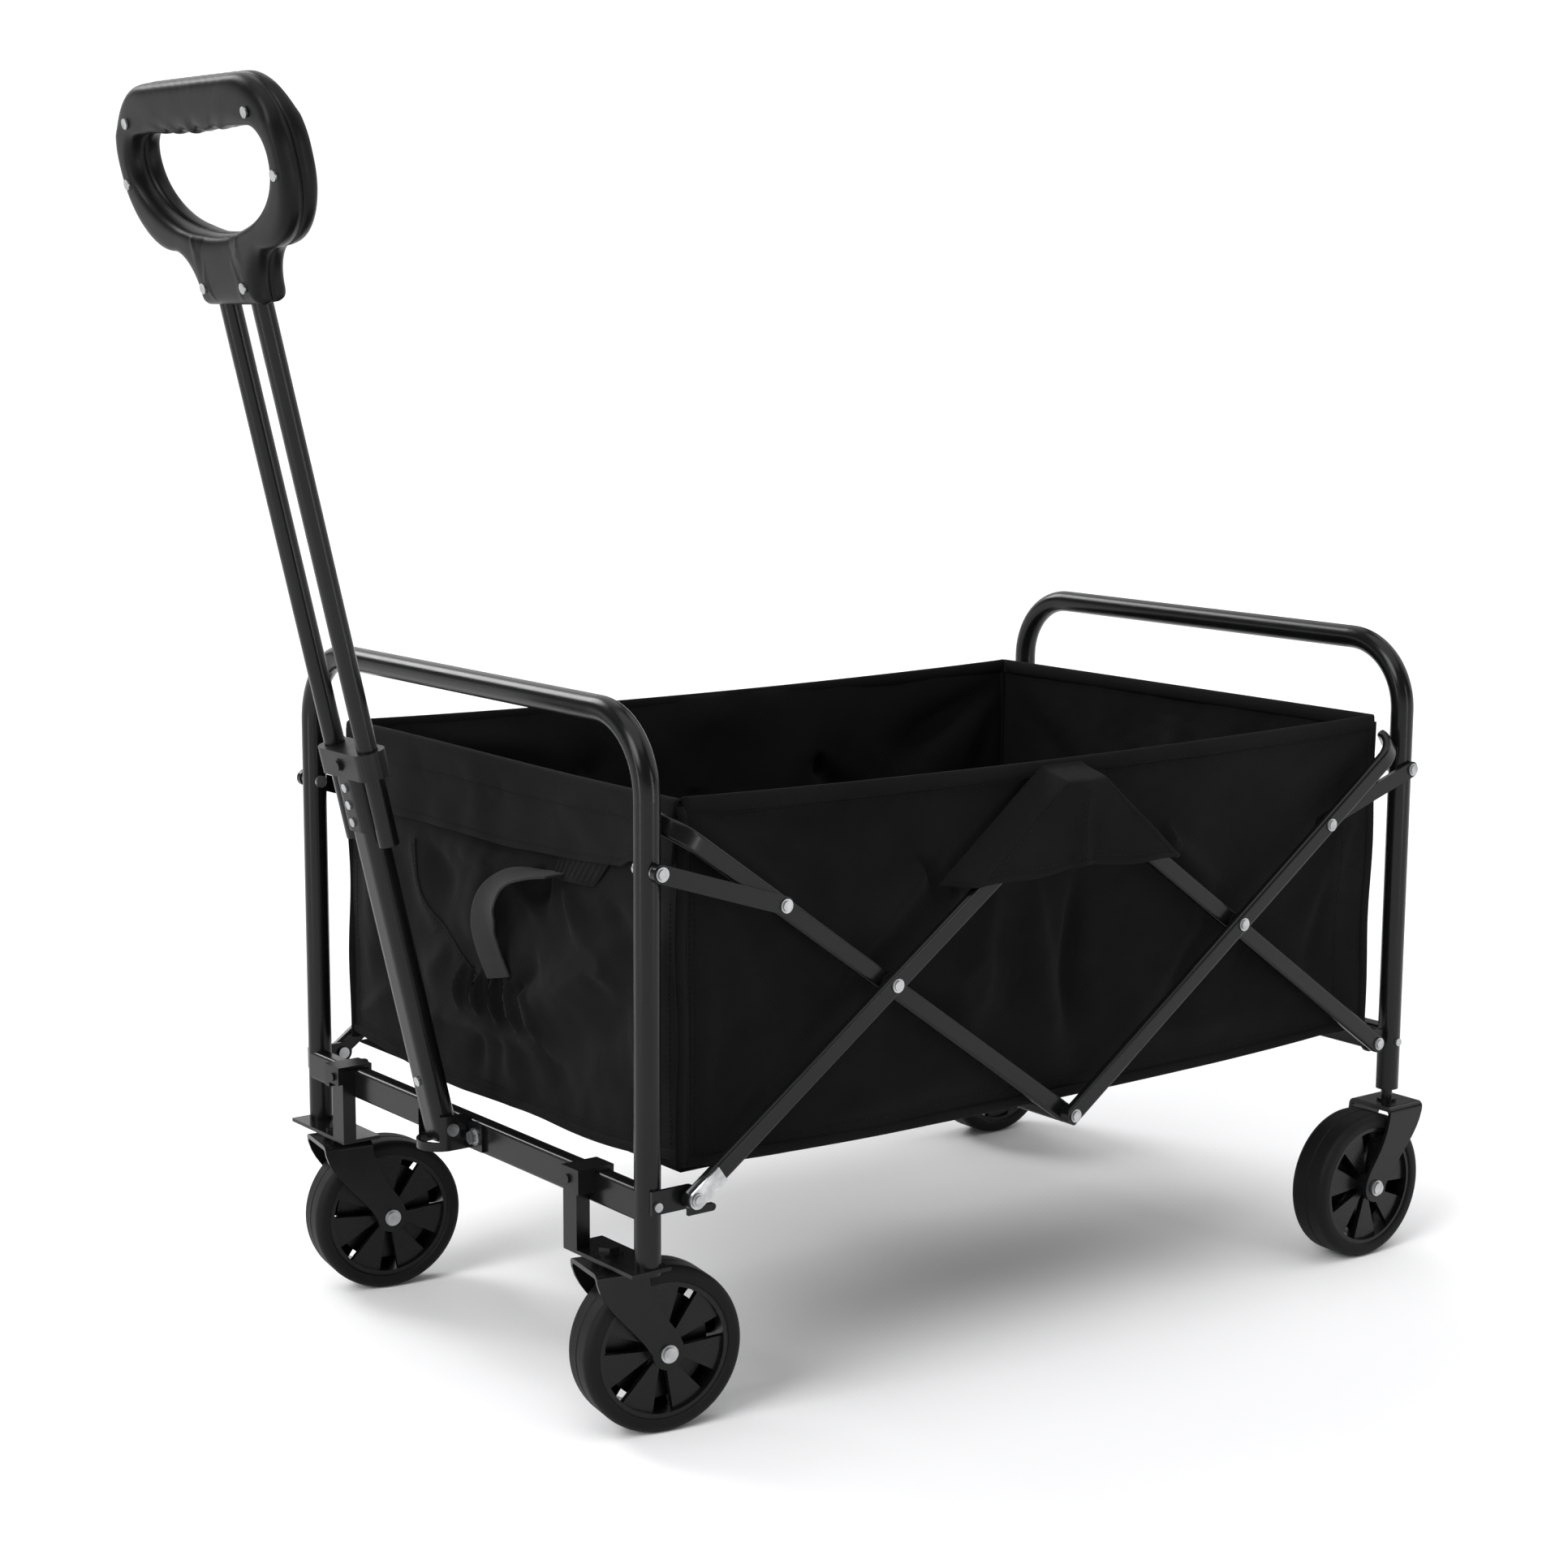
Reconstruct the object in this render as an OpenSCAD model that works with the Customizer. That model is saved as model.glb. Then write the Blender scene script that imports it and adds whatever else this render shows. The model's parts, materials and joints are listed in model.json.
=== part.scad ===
// Folding shopping trolley: two steel U frames joined on each side by a double scissor,
// with a fabric basket, four wheels and a telescopic pull handle.
// +X points forward to the pull handle, +Y to the left and +Z up. The ground is z = 0.

/* [Frame] */
// Distance of the front and rear legs from the middle, along the trolley
leg_x = 406; // [380:1:430]
// Distance of each leg from the centre plane
leg_y = 247; // [240:1:260]
// Outer diameter of the bent frame tube
tube_d = 20; // [18:1:22]
// Wall of the bent frame tube
tube_wall = 1.5; // [1:0.1:2]
// Height of the top bar's centre line
top_bar_z = 549; // [535:1:570]
// Centre line radius of the top corners
corner_r = 60; // [50:1:80]
// Height of the front legs' lower ends
leg_bottom_z = 136; // [136:0.5:138]
// Depth of the crossbars along the trolley
crossbar_depth = 14; // [12:1:16]
// Height of the crossbars' section
crossbar_height = 25; // [20:1:26]
// Height of the crossbars' centre line
crossbar_z = 190; // [188:1:194]

/* [Scissor] */
// Distance between neighbouring pivots of an arm
arm_pitch = 232; // [225:1:238]
// Angle of the arms above the ground when the trolley is open
open_angle = 35.4; // [34:0.1:37]
// Angle of the arms above the ground when the trolley is folded
folded_angle = 79; // [75:0.5:80]
// Height of the lower pivots
low_pivot_z = 193; // [190:1:196]
// Width of an arm's section
arm_width = 16; // [14:1:18]
// Thickness of an arm's section
arm_thick = 8; // [7:0.5:8]
// Distance of the link's pivot from the crossing pivot, along the arm
link_reach = 128; // [120:1:130]

/* [Basket] */
// Half the length of the basket
basket_x = 372; // [360:1:374]
// Distance of the side panels' outer faces from the centre plane
basket_y = 243; // [235:1:243]
// Height of the basket's underside
basket_floor_z = 203; // [202:1:208]
// Height of the basket's top edge
basket_top_z = 486; // [470:1:495]
// Thickness of the fabric panels with their lining
panel_thick = 3; // [2:0.5:4]

/* [Wheels] */
// Radius of each wheel over its tyre
wheel_r = 65; // [60:1:65]
// Width of each tyre
tyre_width = 38; // [32:1:40]
// Horizontal distance from a kingpin to its wheel's axle
trail = 38; // [30:1:40]
// Distance of the front kingpins from the middle, along the trolley
kingpin_x = 412; // [406:1:416]
// Distance of the front kingpins from the centre plane
kingpin_y = 205; // [203:1:212]
// Angle that the front casters are turned by at rest
caster_turn = -10; // [-20:1:20]
// Number of fan petals in each wheel
petals = 7; // [5:1:9]

/* [Handle] */
// Lean of the pull handle from the vertical at rest
handle_lean = 13.4; // [5:0.1:25]
// Distance between the two sliding rods
rod_spacing = 50; // [48:1:56]
// Diameter of the sliding rods
rod_d = 16; // [14:0.5:16]
// Distance of the grip's lower end from the handle pivot
grip_start = 660; // [640:1:690]
// Width of the grip
grip_width = 252; // [236:1:270]
// Thickness of the grip
grip_thick = 30; // [26:1:34]

/* [Hidden] */
$fn = 64;
EDGE = 0.01;
FIT = 0.1;
GAP = 0.3;

// Scissor geometry, with the pivots of the open trolley
reach_x = arm_pitch * cos(open_angle);
rise_z = arm_pitch * sin(open_angle);
low_x = 2 * reach_x;
cross_z = low_pivot_z + rise_z;
peak_z = low_pivot_z + 2 * rise_z;
leg_offset = leg_x - low_x;

// The link closes exactly both when the trolley is open and when it is folded
near_part = arm_pitch - link_reach;
far_part = arm_pitch + link_reach;
cos_drop = cos(open_angle) - cos(folded_angle);
cos_sq_drop = pow(cos(open_angle), 2) - pow(cos(folded_angle), 2);
sin_gain = sin(folded_angle) - sin(open_angle);
link_gain = 2 * leg_offset * near_part * cos_drop + near_part * near_part * cos_sq_drop;
link_rise = (far_part * (sin(open_angle) + sin(folded_angle)) - link_gain / (far_part * sin_gain)) / 2;
link_z = low_pivot_z + link_rise;
link_end_x = reach_x + link_reach * cos(open_angle);
link_end_z = cross_z + link_reach * sin(open_angle);
link_angle = atan2(link_end_z - link_z, leg_x - link_end_x);
link_len = norm([link_end_z - link_z, leg_x - link_end_x]);

// Planes across the trolley, from the inside out
inner_y = 251;
outer_y = 262;
leg_face_y = leg_y + tube_d / 2;
inner_face_y = inner_y + arm_thick;
outer_face_y = outer_y + arm_thick;
link_y = 260.5;
link_thick = 5;
rear_link_y = leg_face_y + 0.8;
rear_link_thick = 3.5;

// Rivets
rivet_d = 6;
rivet_head_d = 11;
small_head_d = 10;
rivet_head_t = 2.6;

// Arms
arm_r = 3;
arm_wall = 1.2;
tip_bend_r = 26;
tip_bend_angle = 72;
front_tip_start = 217;
rear_tip_start = 211;
arm_end = arm_width / 2;
lug_thick = 2;
lug_len = 28;

// Hinge brackets
bracket_t = 3;
bracket_edge = 5;

// Front caster mounts
plate_z = 139;
plate_t = 3;
drop_y = 177;
drop_width = 18;
drop_depth = 12;
plate_lip = 2;
saddle_t = 3;
saddle_drop = 12;
saddle_side = 7;
saddle_lip = 4;
fork_top_z = 135;
fork_plate_t = 4;
fork_reach = 21;
fork_bend_r = 5;
boss_r = 13;
kingpin_d = 10;
race_d = 26;
nut_d = 18;
nut_t = 3.5;
stem_len = 30;
rear_leg_bottom = 146;
rear_race_d = 18;
fork_gap = 43;
fork_t = 3;
axle_d = 8;
hub_d = 24;
rim_r = 53;
rim_wall = 3.5;
rim_width = 34;
petal_t = 5;
petal_root = 1;
petal_inner_angle = 13;
petal_outer_angle = 16;
web_r = 42;
web_t = 4;
petal_z = 11;
stem_d = tube_d - 2 * tube_wall;

// Handle yoke
yoke_t = 3;
yoke_low = 10;
yoke_high = 11;
yoke_flange = 22;

// Flaps and carry loop
flap_y = 273.5;
flap_t = 1.5;
flap_top_half = 34;
flap_rise = 13;
flap_cover_t = 2.5;
flap_points = [[120, 394], [0, 398], [-112, 396]];
loop_centre = [118, 420];
loop_outer_r = 58;
loop_inner_r = 34;
loop_t = 6;

// Handle, along its own axis from the pivot
pivot_x = 434;
pivot_z = 197;
low_tube_y = 30;
low_tube_x = 20;
low_tube_start = -9;
sleeve_start = 253;
collar_start = 297;
collar_end = 318;
low_tube_end = collar_start + 4;
rod_start = sleeve_start - 11;
rod_end = grip_start + 40;
button_s = (collar_start + collar_end) / 2;
button_d = 10;
grip_height = 162;
grip_shoulder = 54;
grip_neck_x = rod_spacing / 2 + rod_d / 2 + 9;
grip_neck_top = 40;
grip_ring = 20;
hole_bottom = 51;
hole_top = 126;
hole_corner = 22;

// The origin lies under the middle of the whole trolley: half way between the grip's
// foremost edge and the rearmost point of the rear wheels
grip_front_x = pivot_x + (grip_start + grip_height) * sin(handle_lean)
    + grip_thick / 2 * cos(handle_lean);
wheel_rear_x = trail - leg_x - wheel_r;
origin_x = (grip_front_x + wheel_rear_x) / 2;
grip_screw_places = [for (side = [-1, 1], p = [[94, 136], [115, 92], [31, 14]]) [side * p.x, p.y]];

function arc(c, r, a0, a1, n = 10) =
    [for (i = [0:n]) c + r * [cos(a0 + (a1 - a0) * i / n), sin(a0 + (a1 - a0) * i / n)]];
function oval(c, rx, ry, a0, a1, n = 12) =
    [for (i = [0:n]) c + [rx * cos(a0 + (a1 - a0) * i / n), ry * sin(a0 + (a1 - a0) * i / n)]];
function bezier(a, b, c, d, n = 10) = [for (i = [0:n]) let (t = i / n, u = 1 - t)
    u * u * u * a + 3 * u * u * t * b + 3 * u * t * t * c + t * t * t * d];
function mirrored(points) = [for (i = [len(points) - 1:-1:0]) [-points[i].x, points[i].y]];

// Puts everything in the trolley's own frame
module place() {
    translate([-origin_x, 0, 0]) children();
}

module both_sides() {
    children();
    mirror([0, 1, 0]) children();
}

// A cylinder along Y between two planes
module pin(x, z, y0, y1, d) {
    translate([x, y0, z]) rotate([-90, 0, 0]) cylinder(h = y1 - y0, d = d);
}

module slab(x0, x1, y0, y1, z0, z1) {
    translate([x0, y0, z0]) cube([x1 - x0, y1 - y0, z1 - z0]);
}

module rounded_rect(w, h, r) {
    polygon(concat(arc([w / 2 - r, h / 2 - r], r, 0, 90, 6),
        arc([r - w / 2, h / 2 - r], r, 90, 180, 6),
        arc([r - w / 2, r - h / 2], r, 180, 270, 6),
        arc([w / 2 - r, r - h / 2], r, 270, 360, 6)));
}

// A rivet with a low domed head at its outer end and a flat one at its inner end
module rivet(x, z, y0, y1, inner_head_d) {
    pin(x, z, y0, y1, rivet_d);
    pin(x, z, y1, y1 + rivet_head_t / 2, rivet_head_d);
    pin(x, z, y1 + rivet_head_t / 2, y1 + rivet_head_t, rivet_head_d - 3);
    pin(x, z, y0 - rivet_head_t, y0, inner_head_d);
}

// Draws its children along an arm: local x runs up the arm from its first pivot
module along_arm(x, y, z, angle) {
    translate([x, y, z]) rotate([0, -angle, 0]) children();
}

// A flat oval tube with round ends, between two places along an arm
module bar(s0, s1) {
    intersection() {
        translate([s0, arm_thick / 2, 0]) rotate([90, 0, 90])
            linear_extrude(s1 - s0) rounded_rect(arm_thick, arm_width, arm_r);
        union() {
            slab(s0 + arm_end, s1 - arm_end, -EDGE, arm_thick + EDGE, -arm_end, arm_end);
            pin(s0 + arm_end, 0, -EDGE, arm_thick + EDGE, arm_width);
            pin(s1 - arm_end, 0, -EDGE, arm_thick + EDGE, arm_width);
        }
    }
}

// The upper end of an arm, bent inwards to hold the basket's corner
module bent_tip(tip_start) {
    translate([tip_start, -tip_bend_r, 0]) mirror([1, -1, 0])
        rotate_extrude(angle = tip_bend_angle) translate([tip_bend_r + arm_thick / 2, 0])
        rounded_rect(arm_thick, arm_width, arm_r);
}

// The hollow of an arm's tube, between two places along it
module hollow(s0, s1) {
    translate([s0, arm_thick / 2, 0]) rotate([90, 0, 90]) linear_extrude(s1 - s0)
        rounded_rect(arm_thick - 2 * arm_wall, arm_width - 2 * arm_wall, arm_r - arm_wall);
}

module straight_arm(holes) {
    difference() {
        bar(-arm_end, 2 * arm_pitch + arm_end);
        hollow(arm_width, 2 * arm_pitch - arm_width);
        for (h = holes) pin(h.x, 0, -1, arm_thick + 1, h.y);
    }
}

module tipped_arm(holes, tip_start) {
    difference() {
        union() {
            intersection() {
                bar(-arm_end, 2 * arm_pitch);
                slab(-arm_width, arm_pitch + tip_start, -1, arm_thick + 1, -arm_width, arm_width);
            }
            translate([arm_pitch, 0, 0]) bent_tip(tip_start);
        }
        hollow(arm_width, arm_pitch + tip_start - arm_width);
        for (h = holes) pin(h.x, 0, -1, arm_thick + 1, h.y);
    }
}

// Holes are [distance from the first pivot, diameter]
module front_rising_arm() {
    along_arm(low_x, outer_y, low_pivot_z, 180 - open_angle)
        straight_arm([[0, rivet_d + FIT], [arm_pitch, rivet_d], [2 * arm_pitch, rivet_d]]);
}

module front_falling_arm() {
    along_arm(0, inner_y, low_pivot_z, open_angle)
        tipped_arm([[0, rivet_d + FIT], [arm_pitch, rivet_d + FIT]], front_tip_start);
}

module rear_rising_arm() {
    along_arm(0, outer_y, low_pivot_z, 180 - open_angle)
        tipped_arm([[0, rivet_d], [arm_pitch, rivet_d], [arm_pitch + link_reach, rivet_d]],
            rear_tip_start);
}

module rear_falling_arm() {
    along_arm(-low_x, inner_y, low_pivot_z, open_angle)
        straight_arm([[0, rivet_d + FIT], [arm_pitch, rivet_d + FIT],
            [2 * arm_pitch, rivet_d + FIT]]);
}

module left_arm(name) {
    color("#1b1c1e") place() {
        if (name == "front_rising") front_rising_arm();
        if (name == "front_falling") front_falling_arm();
        if (name == "rear_rising") rear_rising_arm();
        if (name == "rear_falling") rear_falling_arm();
    }
}

module right_arm(name) {
    mirror([0, 1, 0]) left_arm(name);
}

// Bare steel tongues riveted over the lower ends of the front rising arms
module front_arm_lugs() {
    color("#a9adb0") place() both_sides()
        along_arm(low_x, outer_face_y, low_pivot_z, 180 - open_angle) difference() {
            union() {
                pin(0, 0, 0, lug_thick, arm_width - 2);
                slab(0, lug_len, 0, lug_thick, 1 - arm_end, arm_end - 1);
            }
            pin(0, 0, -1, lug_thick + 1, rivet_d + FIT);
        }
}

module front_arm_rivets() {
    color("#c9ccd0") place() both_sides() {
        rivet(reach_x, cross_z, inner_y - GAP, outer_face_y, rivet_head_d);
        rivet(0, peak_z, inner_y - GAP, outer_face_y, rivet_head_d);
    }
}

module rear_arm_rivets() {
    color("#c9ccd0") place() both_sides() {
        rivet(-reach_x, cross_z, inner_y - GAP, outer_face_y, rivet_head_d);
        rivet(0, low_pivot_z, inner_y - GAP, outer_face_y, small_head_d);
        pin(-link_end_x, link_end_z, outer_y, outer_face_y, rivet_d);
        pin(-link_end_x, link_end_z, outer_face_y, outer_face_y + rivet_head_t / 2, rivet_head_d);
        pin(-link_end_x, link_end_z, outer_face_y, outer_face_y + rivet_head_t, rivet_head_d - 3);
    }
}

// Moulded washer that keeps a pair of crossing arms apart
module spacer(x, z) {
    difference() {
        pin(x, z, inner_face_y + GAP, outer_y, arm_width - 1);
        pin(x, z, inner_face_y, outer_y + 1, rivet_d);
    }
}

module front_arm_spacers() {
    color("#101112") place() both_sides() {
        spacer(reach_x, cross_z);
        spacer(0, peak_z);
    }
}

module rear_arm_spacers() {
    color("#101112") place() both_sides() {
        spacer(-reach_x, cross_z);
        spacer(0, low_pivot_z);
    }
}

// A flat link with round ends, from its leg pivot towards -x
module flat_link(thick, end_bore) {
    difference() {
        union() {
            slab(-link_len, 0, 0, thick, 1 - arm_end, arm_end - 1);
            pin(0, 0, 0, thick, arm_width - 2);
            pin(-link_len, 0, 0, thick, arm_width - 2);
        }
        pin(0, 0, -1, thick + 1, rivet_d + FIT);
        pin(-link_len, 0, -1, thick + 1, end_bore);
    }
}

module front_links() {
    color("#1b1c1e") place() both_sides()
        translate([leg_x, link_y, link_z]) rotate([0, link_angle, 0])
        flat_link(link_thick, rivet_d);
}

module rear_links() {
    color("#1b1c1e") place() both_sides()
        translate([-leg_x, rear_link_y, link_z]) mirror([1, 0, 0]) rotate([0, link_angle, 0])
        flat_link(rear_link_thick, rivet_d);
}

module front_link_rivets() {
    color("#c9ccd0") place() both_sides() {
        face = link_y + link_thick;
        pin(link_end_x, link_end_z, link_y, face, rivet_d);
        pin(link_end_x, link_end_z, face, face + rivet_head_t / 2, rivet_head_d);
        pin(link_end_x, link_end_z, face, face + rivet_head_t, rivet_head_d - 3);
    }
}

module middle_cross_tube() {
    color("#161718") place() difference() {
        pin(0, low_pivot_z, -inner_y, inner_y, arm_width);
        pin(0, low_pivot_z, -inner_y - 1, inner_y + 1, small_head_d + 2.5);
    }
}

// The path of a U frame as a solid of one diameter, from the left leg to the right one
module u_path(d, bottom) {
    leg_top = top_bar_z - corner_r;
    both_sides() {
        translate([0, leg_y, bottom]) cylinder(h = leg_top - bottom, d = d);
        translate([0, leg_y - corner_r, leg_top]) rotate([90, 0, 90])
            rotate_extrude(angle = 90) translate([corner_r, 0]) circle(d = d);
    }
    pin(0, top_bar_z, corner_r - leg_y, leg_y - corner_r, d);
}

module u_frame(x, bottom) {
    difference() {
        translate([x, 0, 0]) difference() {
            u_path(tube_d, bottom);
            u_path(tube_d - 2 * tube_wall, bottom);
        }
        both_sides() pin(x, link_z, leg_y - tube_d, leg_y + tube_d, rivet_d);
    }
}

module front_frame() {
    color("#1b1c1e") place() u_frame(leg_x, leg_bottom_z);
}

module rear_frame() {
    color("#1b1c1e") place() u_frame(-leg_x, rear_leg_bottom);
}

// A rectangular tube between the legs, with its ends coped around them
module crossbar(x, side) {
    difference() {
        translate([x + side * 3, 0, crossbar_z]) rotate([90, 0, 0])
            linear_extrude(2 * leg_y, center = true) difference() {
                rounded_rect(crossbar_depth, crossbar_height, arm_r);
                rounded_rect(crossbar_depth - 2 * tube_wall,
                    crossbar_height - 2 * tube_wall, arm_r / 2);
            }
        both_sides() translate([x, leg_y, 0]) cylinder(h = 2 * crossbar_z, d = tube_d);
    }
}

module front_crossbar() {
    color("#1b1c1e") place() crossbar(leg_x, 1);
}

module rear_crossbar() {
    color("#1b1c1e") place() crossbar(-leg_x, -1);
}

// Each drop tube stands in front of the crossbar on a plate that carries a kingpin
module front_drop_frames() {
    front = leg_x + 3 + crossbar_depth / 2;
    color("#1b1c1e") place() both_sides() {
        translate([front, drop_y - drop_width / 2, plate_z + plate_t])
            cube([drop_depth, drop_width, crossbar_z + crossbar_height / 2 - plate_z - plate_t]);
        difference() {
            slab(leg_x - tube_d / 2 - 3, front + drop_depth, drop_y - drop_width / 2,
                leg_y + tube_d / 2 + plate_lip, plate_z, plate_z + plate_t);
            translate([leg_x, leg_y, plate_z - 1]) cylinder(h = plate_t + 2, d = tube_d);
            translate([kingpin_x, kingpin_y, plate_z - 1])
                cylinder(h = plate_t + 2, d = kingpin_d);
        }
    }
}

// Moulded saddle that hooks over the crossbar beside each drop tube
module drop_tube_clamps() {
    top = crossbar_z + crossbar_height / 2;
    back = leg_x + 3 - crossbar_depth / 2;
    front = leg_x + 3 + crossbar_depth / 2;
    edge = drop_y + drop_width / 2;
    outside = front + drop_depth;
    lip = top - saddle_drop;
    low_side = drop_y - saddle_side;
    high_side = edge + saddle_side;
    color("#101112") place() both_sides() {
        slab(back - saddle_t, outside + saddle_t, low_side, high_side, top, top + saddle_t);
        slab(front, outside + saddle_t, edge, high_side, lip - saddle_lip, top);
        slab(back - saddle_t, back, low_side, high_side, lip, top);
        slab(outside, outside + saddle_t, low_side, edge, lip, top);
        translate([outside + saddle_t, drop_y + 2, (top + lip) / 2]) rotate([0, 90, 0])
            cylinder(h = 2, d = small_head_d - 3);
    }
}

// Plates on the front legs that hold the lower pivots and stop the arms
module front_hinge_brackets() {
    y0 = leg_face_y;
    y1 = y0 + bracket_t;
    color("#141516") place() both_sides() difference() {
        union() {
            slab(low_x, leg_x + bracket_edge, y0, y1, low_pivot_z - 9, low_pivot_z + 9);
            pin(low_x, low_pivot_z, y0, y1, 18);
            slab(low_x - 22, low_x, y0, y1, low_pivot_z - 15, low_pivot_z - 9);
            pin(low_x - 22, low_pivot_z - 12, y0, y1, 6);
            pin(low_x, low_pivot_z, y0, outer_y - GAP, rivet_d + 4);
        }
        pin(low_x, low_pivot_z, y0 - 1, outer_y, rivet_d);
    }
}

module rear_hinge_brackets() {
    y1 = inner_y - 1.7;
    y0 = y1 - 3;
    color("#141516") place() both_sides() difference() {
        union() {
            slab(-leg_x + tube_d / 2 - 1, -low_x, y0, y1, low_pivot_z - 9, low_pivot_z + 9);
            pin(-low_x, low_pivot_z, y0, y1, 18);
            pin(-low_x, low_pivot_z, y1, inner_y - GAP, rivet_d + 4);
        }
        pin(-low_x, low_pivot_z, y0 - 1, inner_y, rivet_d);
        translate([-leg_x, leg_y, 0]) cylinder(h = link_z, d = tube_d);
    }
}

module front_rivets() {
    color("#c9ccd0") place() both_sides() {
        rivet(low_x, low_pivot_z, leg_face_y, outer_face_y + lug_thick + GAP, small_head_d);
        rivet(leg_x, link_z, leg_y - tube_d / 2, link_y + link_thick + GAP, small_head_d);
        pin(leg_x, link_z, leg_face_y, link_y - GAP, rivet_head_d);
        pin(leg_x, crossbar_z, leg_face_y + bracket_t, leg_face_y + bracket_t + 2, small_head_d - 3);
    }
}

module rear_fasteners() {
    color("#c9ccd0") place() both_sides() {
        rivet(-low_x, low_pivot_z, inner_y - 4.7, inner_face_y + GAP, small_head_d);
        rivet(-leg_x, link_z, leg_y - tube_d / 2, rear_link_y + rear_link_thick + GAP,
            small_head_d);
        pin(-leg_x, crossbar_z, leg_face_y, leg_face_y + 2, small_head_d - 3);
    }
}

// Stems that plug into the rear legs and carry the fixed forks
module rear_stems() {
    color("#141516") place() both_sides() translate([-leg_x, leg_y, 0]) {
        translate([0, 0, fork_top_z]) cylinder(h = 2, d = rear_race_d);
        translate([0, 0, fork_top_z]) cylinder(h = rear_leg_bottom - fork_top_z, d = kingpin_d);
        translate([0, 0, rear_leg_bottom]) cylinder(h = stem_len, d = stem_d);
        translate([0, 0, fork_top_z - fork_plate_t]) cylinder(h = fork_plate_t, d = kingpin_d);
        translate([0, 0, fork_top_z - fork_plate_t - nut_t]) cylinder(h = nut_t, d = nut_d);
    }
}

module front_kingpins() {
    low = fork_top_z - fork_plate_t - GAP;
    color("#8d9194") place() both_sides() translate([kingpin_x, kingpin_y, 0]) {
        translate([0, 0, low]) cylinder(h = plate_z + plate_t - low, d = kingpin_d);
        translate([0, 0, low - nut_t]) cylinder(h = nut_t, d = nut_d);
        translate([0, 0, fork_top_z + GAP])
            cylinder(h = plate_z - fork_top_z - GAP, d = race_d);
        translate([0, 0, plate_z + plate_t]) cylinder(h = 2, d = nut_d + 4);
        translate([0, 0, plate_z + plate_t + 2]) cylinder(h = 4, d = nut_d, $fn = 6);
    }
}

// Side view of a fork: local x runs forward, and the axle is behind the kingpin
module fork_outline() {
    boss = [-trail, wheel_r];
    polygon(concat([[fork_reach, fork_top_z + 1]],
        bezier([fork_reach, fork_top_z], [fork_reach, fork_top_z - 27], [-11, wheel_r + 24],
            boss + [boss_r, 0]),
        arc(boss, boss_r, -15, -165, 10),
        bezier(boss - [boss_r, 0], boss + [1 - boss_r, 21], [-fork_reach - 3, wheel_r + 29],
            [-fork_reach, fork_top_z]),
        [[-fork_reach, fork_top_z + 1]]));
}

// Front view of a fork: a plate bent down at both sides
module fork_section() {
    half = fork_gap / 2;
    wide = half + fork_t;
    top = fork_top_z - fork_bend_r;
    roof = fork_top_z - fork_plate_t - fork_bend_r / 2;
    polygon(concat([[-wide, 0]], arc([fork_bend_r - wide, top], fork_bend_r, 180, 90, 6),
        arc([wide - fork_bend_r, top], fork_bend_r, 90, 0, 6), [[wide, 0], [half, 0]],
        arc([half - fork_bend_r / 2, roof], fork_bend_r / 2, 0, 90, 5),
        arc([fork_bend_r / 2 - half, roof], fork_bend_r / 2, 90, 180, 5), [[-half, 0]]));
}

module fork() {
    wide = fork_gap / 2 + fork_t + 1;
    back = trail + boss_r + 1;
    difference() {
        intersection() {
            translate([-back, 0, 0]) rotate([90, 0, 90])
                linear_extrude(back + fork_reach + 1) fork_section();
            translate([0, wide, 0]) rotate([90, 0, 0]) linear_extrude(2 * wide) fork_outline();
        }
        cylinder(h = 2 * fork_top_z, d = kingpin_d + FIT);
        pin(-trail, wheel_r, -wide, wide, axle_d);
    }
}

module axle() {
    half = fork_gap / 2 + fork_t;
    pin(-trail, wheel_r, -half, half, axle_d);
    both_sides() {
        pin(-trail, wheel_r, half, half + 2, axle_d + 6);
        pin(-trail, wheel_r, half + 2, half + 4, axle_d + 3);
    }
}

module petal() {
    linear_extrude(petal_t, center = true) polygon(concat(
        arc([0, 0], rim_r - rim_wall + petal_root, -petal_outer_angle, petal_outer_angle, 8),
        arc([0, 0], hub_d / 2 - petal_root, petal_inner_angle, -petal_inner_angle, 4)));
}

// Wheels are drawn about the origin with the axle along Y
module rim() {
    rotate([90, 0, 0]) difference() {
        union() {
            cylinder(h = fork_gap - 2 * GAP, d = hub_d, center = true);
            cylinder(h = web_t, r = web_r, center = true);
            rotate_extrude() difference() {
                translate([rim_r - rim_wall, -rim_width / 2]) square([rim_wall, rim_width]);
                translate([rim_r - 1.5, -5]) square([2, 10]);
            }
            for (i = [0:petals - 1], side = [-1, 1])
                rotate([0, 0, 90 + (i + (side + 1) / 4) * 360 / petals])
                    translate([0, 0, side * petal_z]) petal();
        }
        cylinder(h = fork_gap + 2, d = axle_d + FIT, center = true);
    }
}

module tyre() {
    half = tyre_width / 2;
    shoulder = 7;
    rotate([90, 0, 0]) rotate_extrude()
        polygon(concat([[rim_r - 1.5, -5], [rim_r, -5], [rim_r, -half + 2]],
            arc([rim_r + 2, -half + 2], 2, 180, 270, 3),
            arc([wheel_r - shoulder, shoulder - half], shoulder, -90, 0, 6),
            [[wheel_r, -1], [wheel_r - 0.8, 0], [wheel_r, 1]],
            arc([wheel_r - shoulder, half - shoulder], shoulder, 0, 90, 6),
            arc([rim_r + 2, half - 2], 2, 90, 180, 3),
            [[rim_r, half - 2], [rim_r, 5], [rim_r - 1.5, 5]]));
}

// Puts its children on a front caster; side is 1 on the left and -1 on the right
module on_caster(side) {
    place() translate([kingpin_x, side * kingpin_y, 0]) rotate([0, 0, caster_turn]) children();
}

module on_rear(side) {
    place() translate([-leg_x, side * leg_y, 0]) rotate([0, 0, 180]) children();
}

module at_axle() {
    translate([-trail, 0, wheel_r]) children();
}

module front_fork(side) {
    color("#141516") on_caster(side) fork();
}

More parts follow.
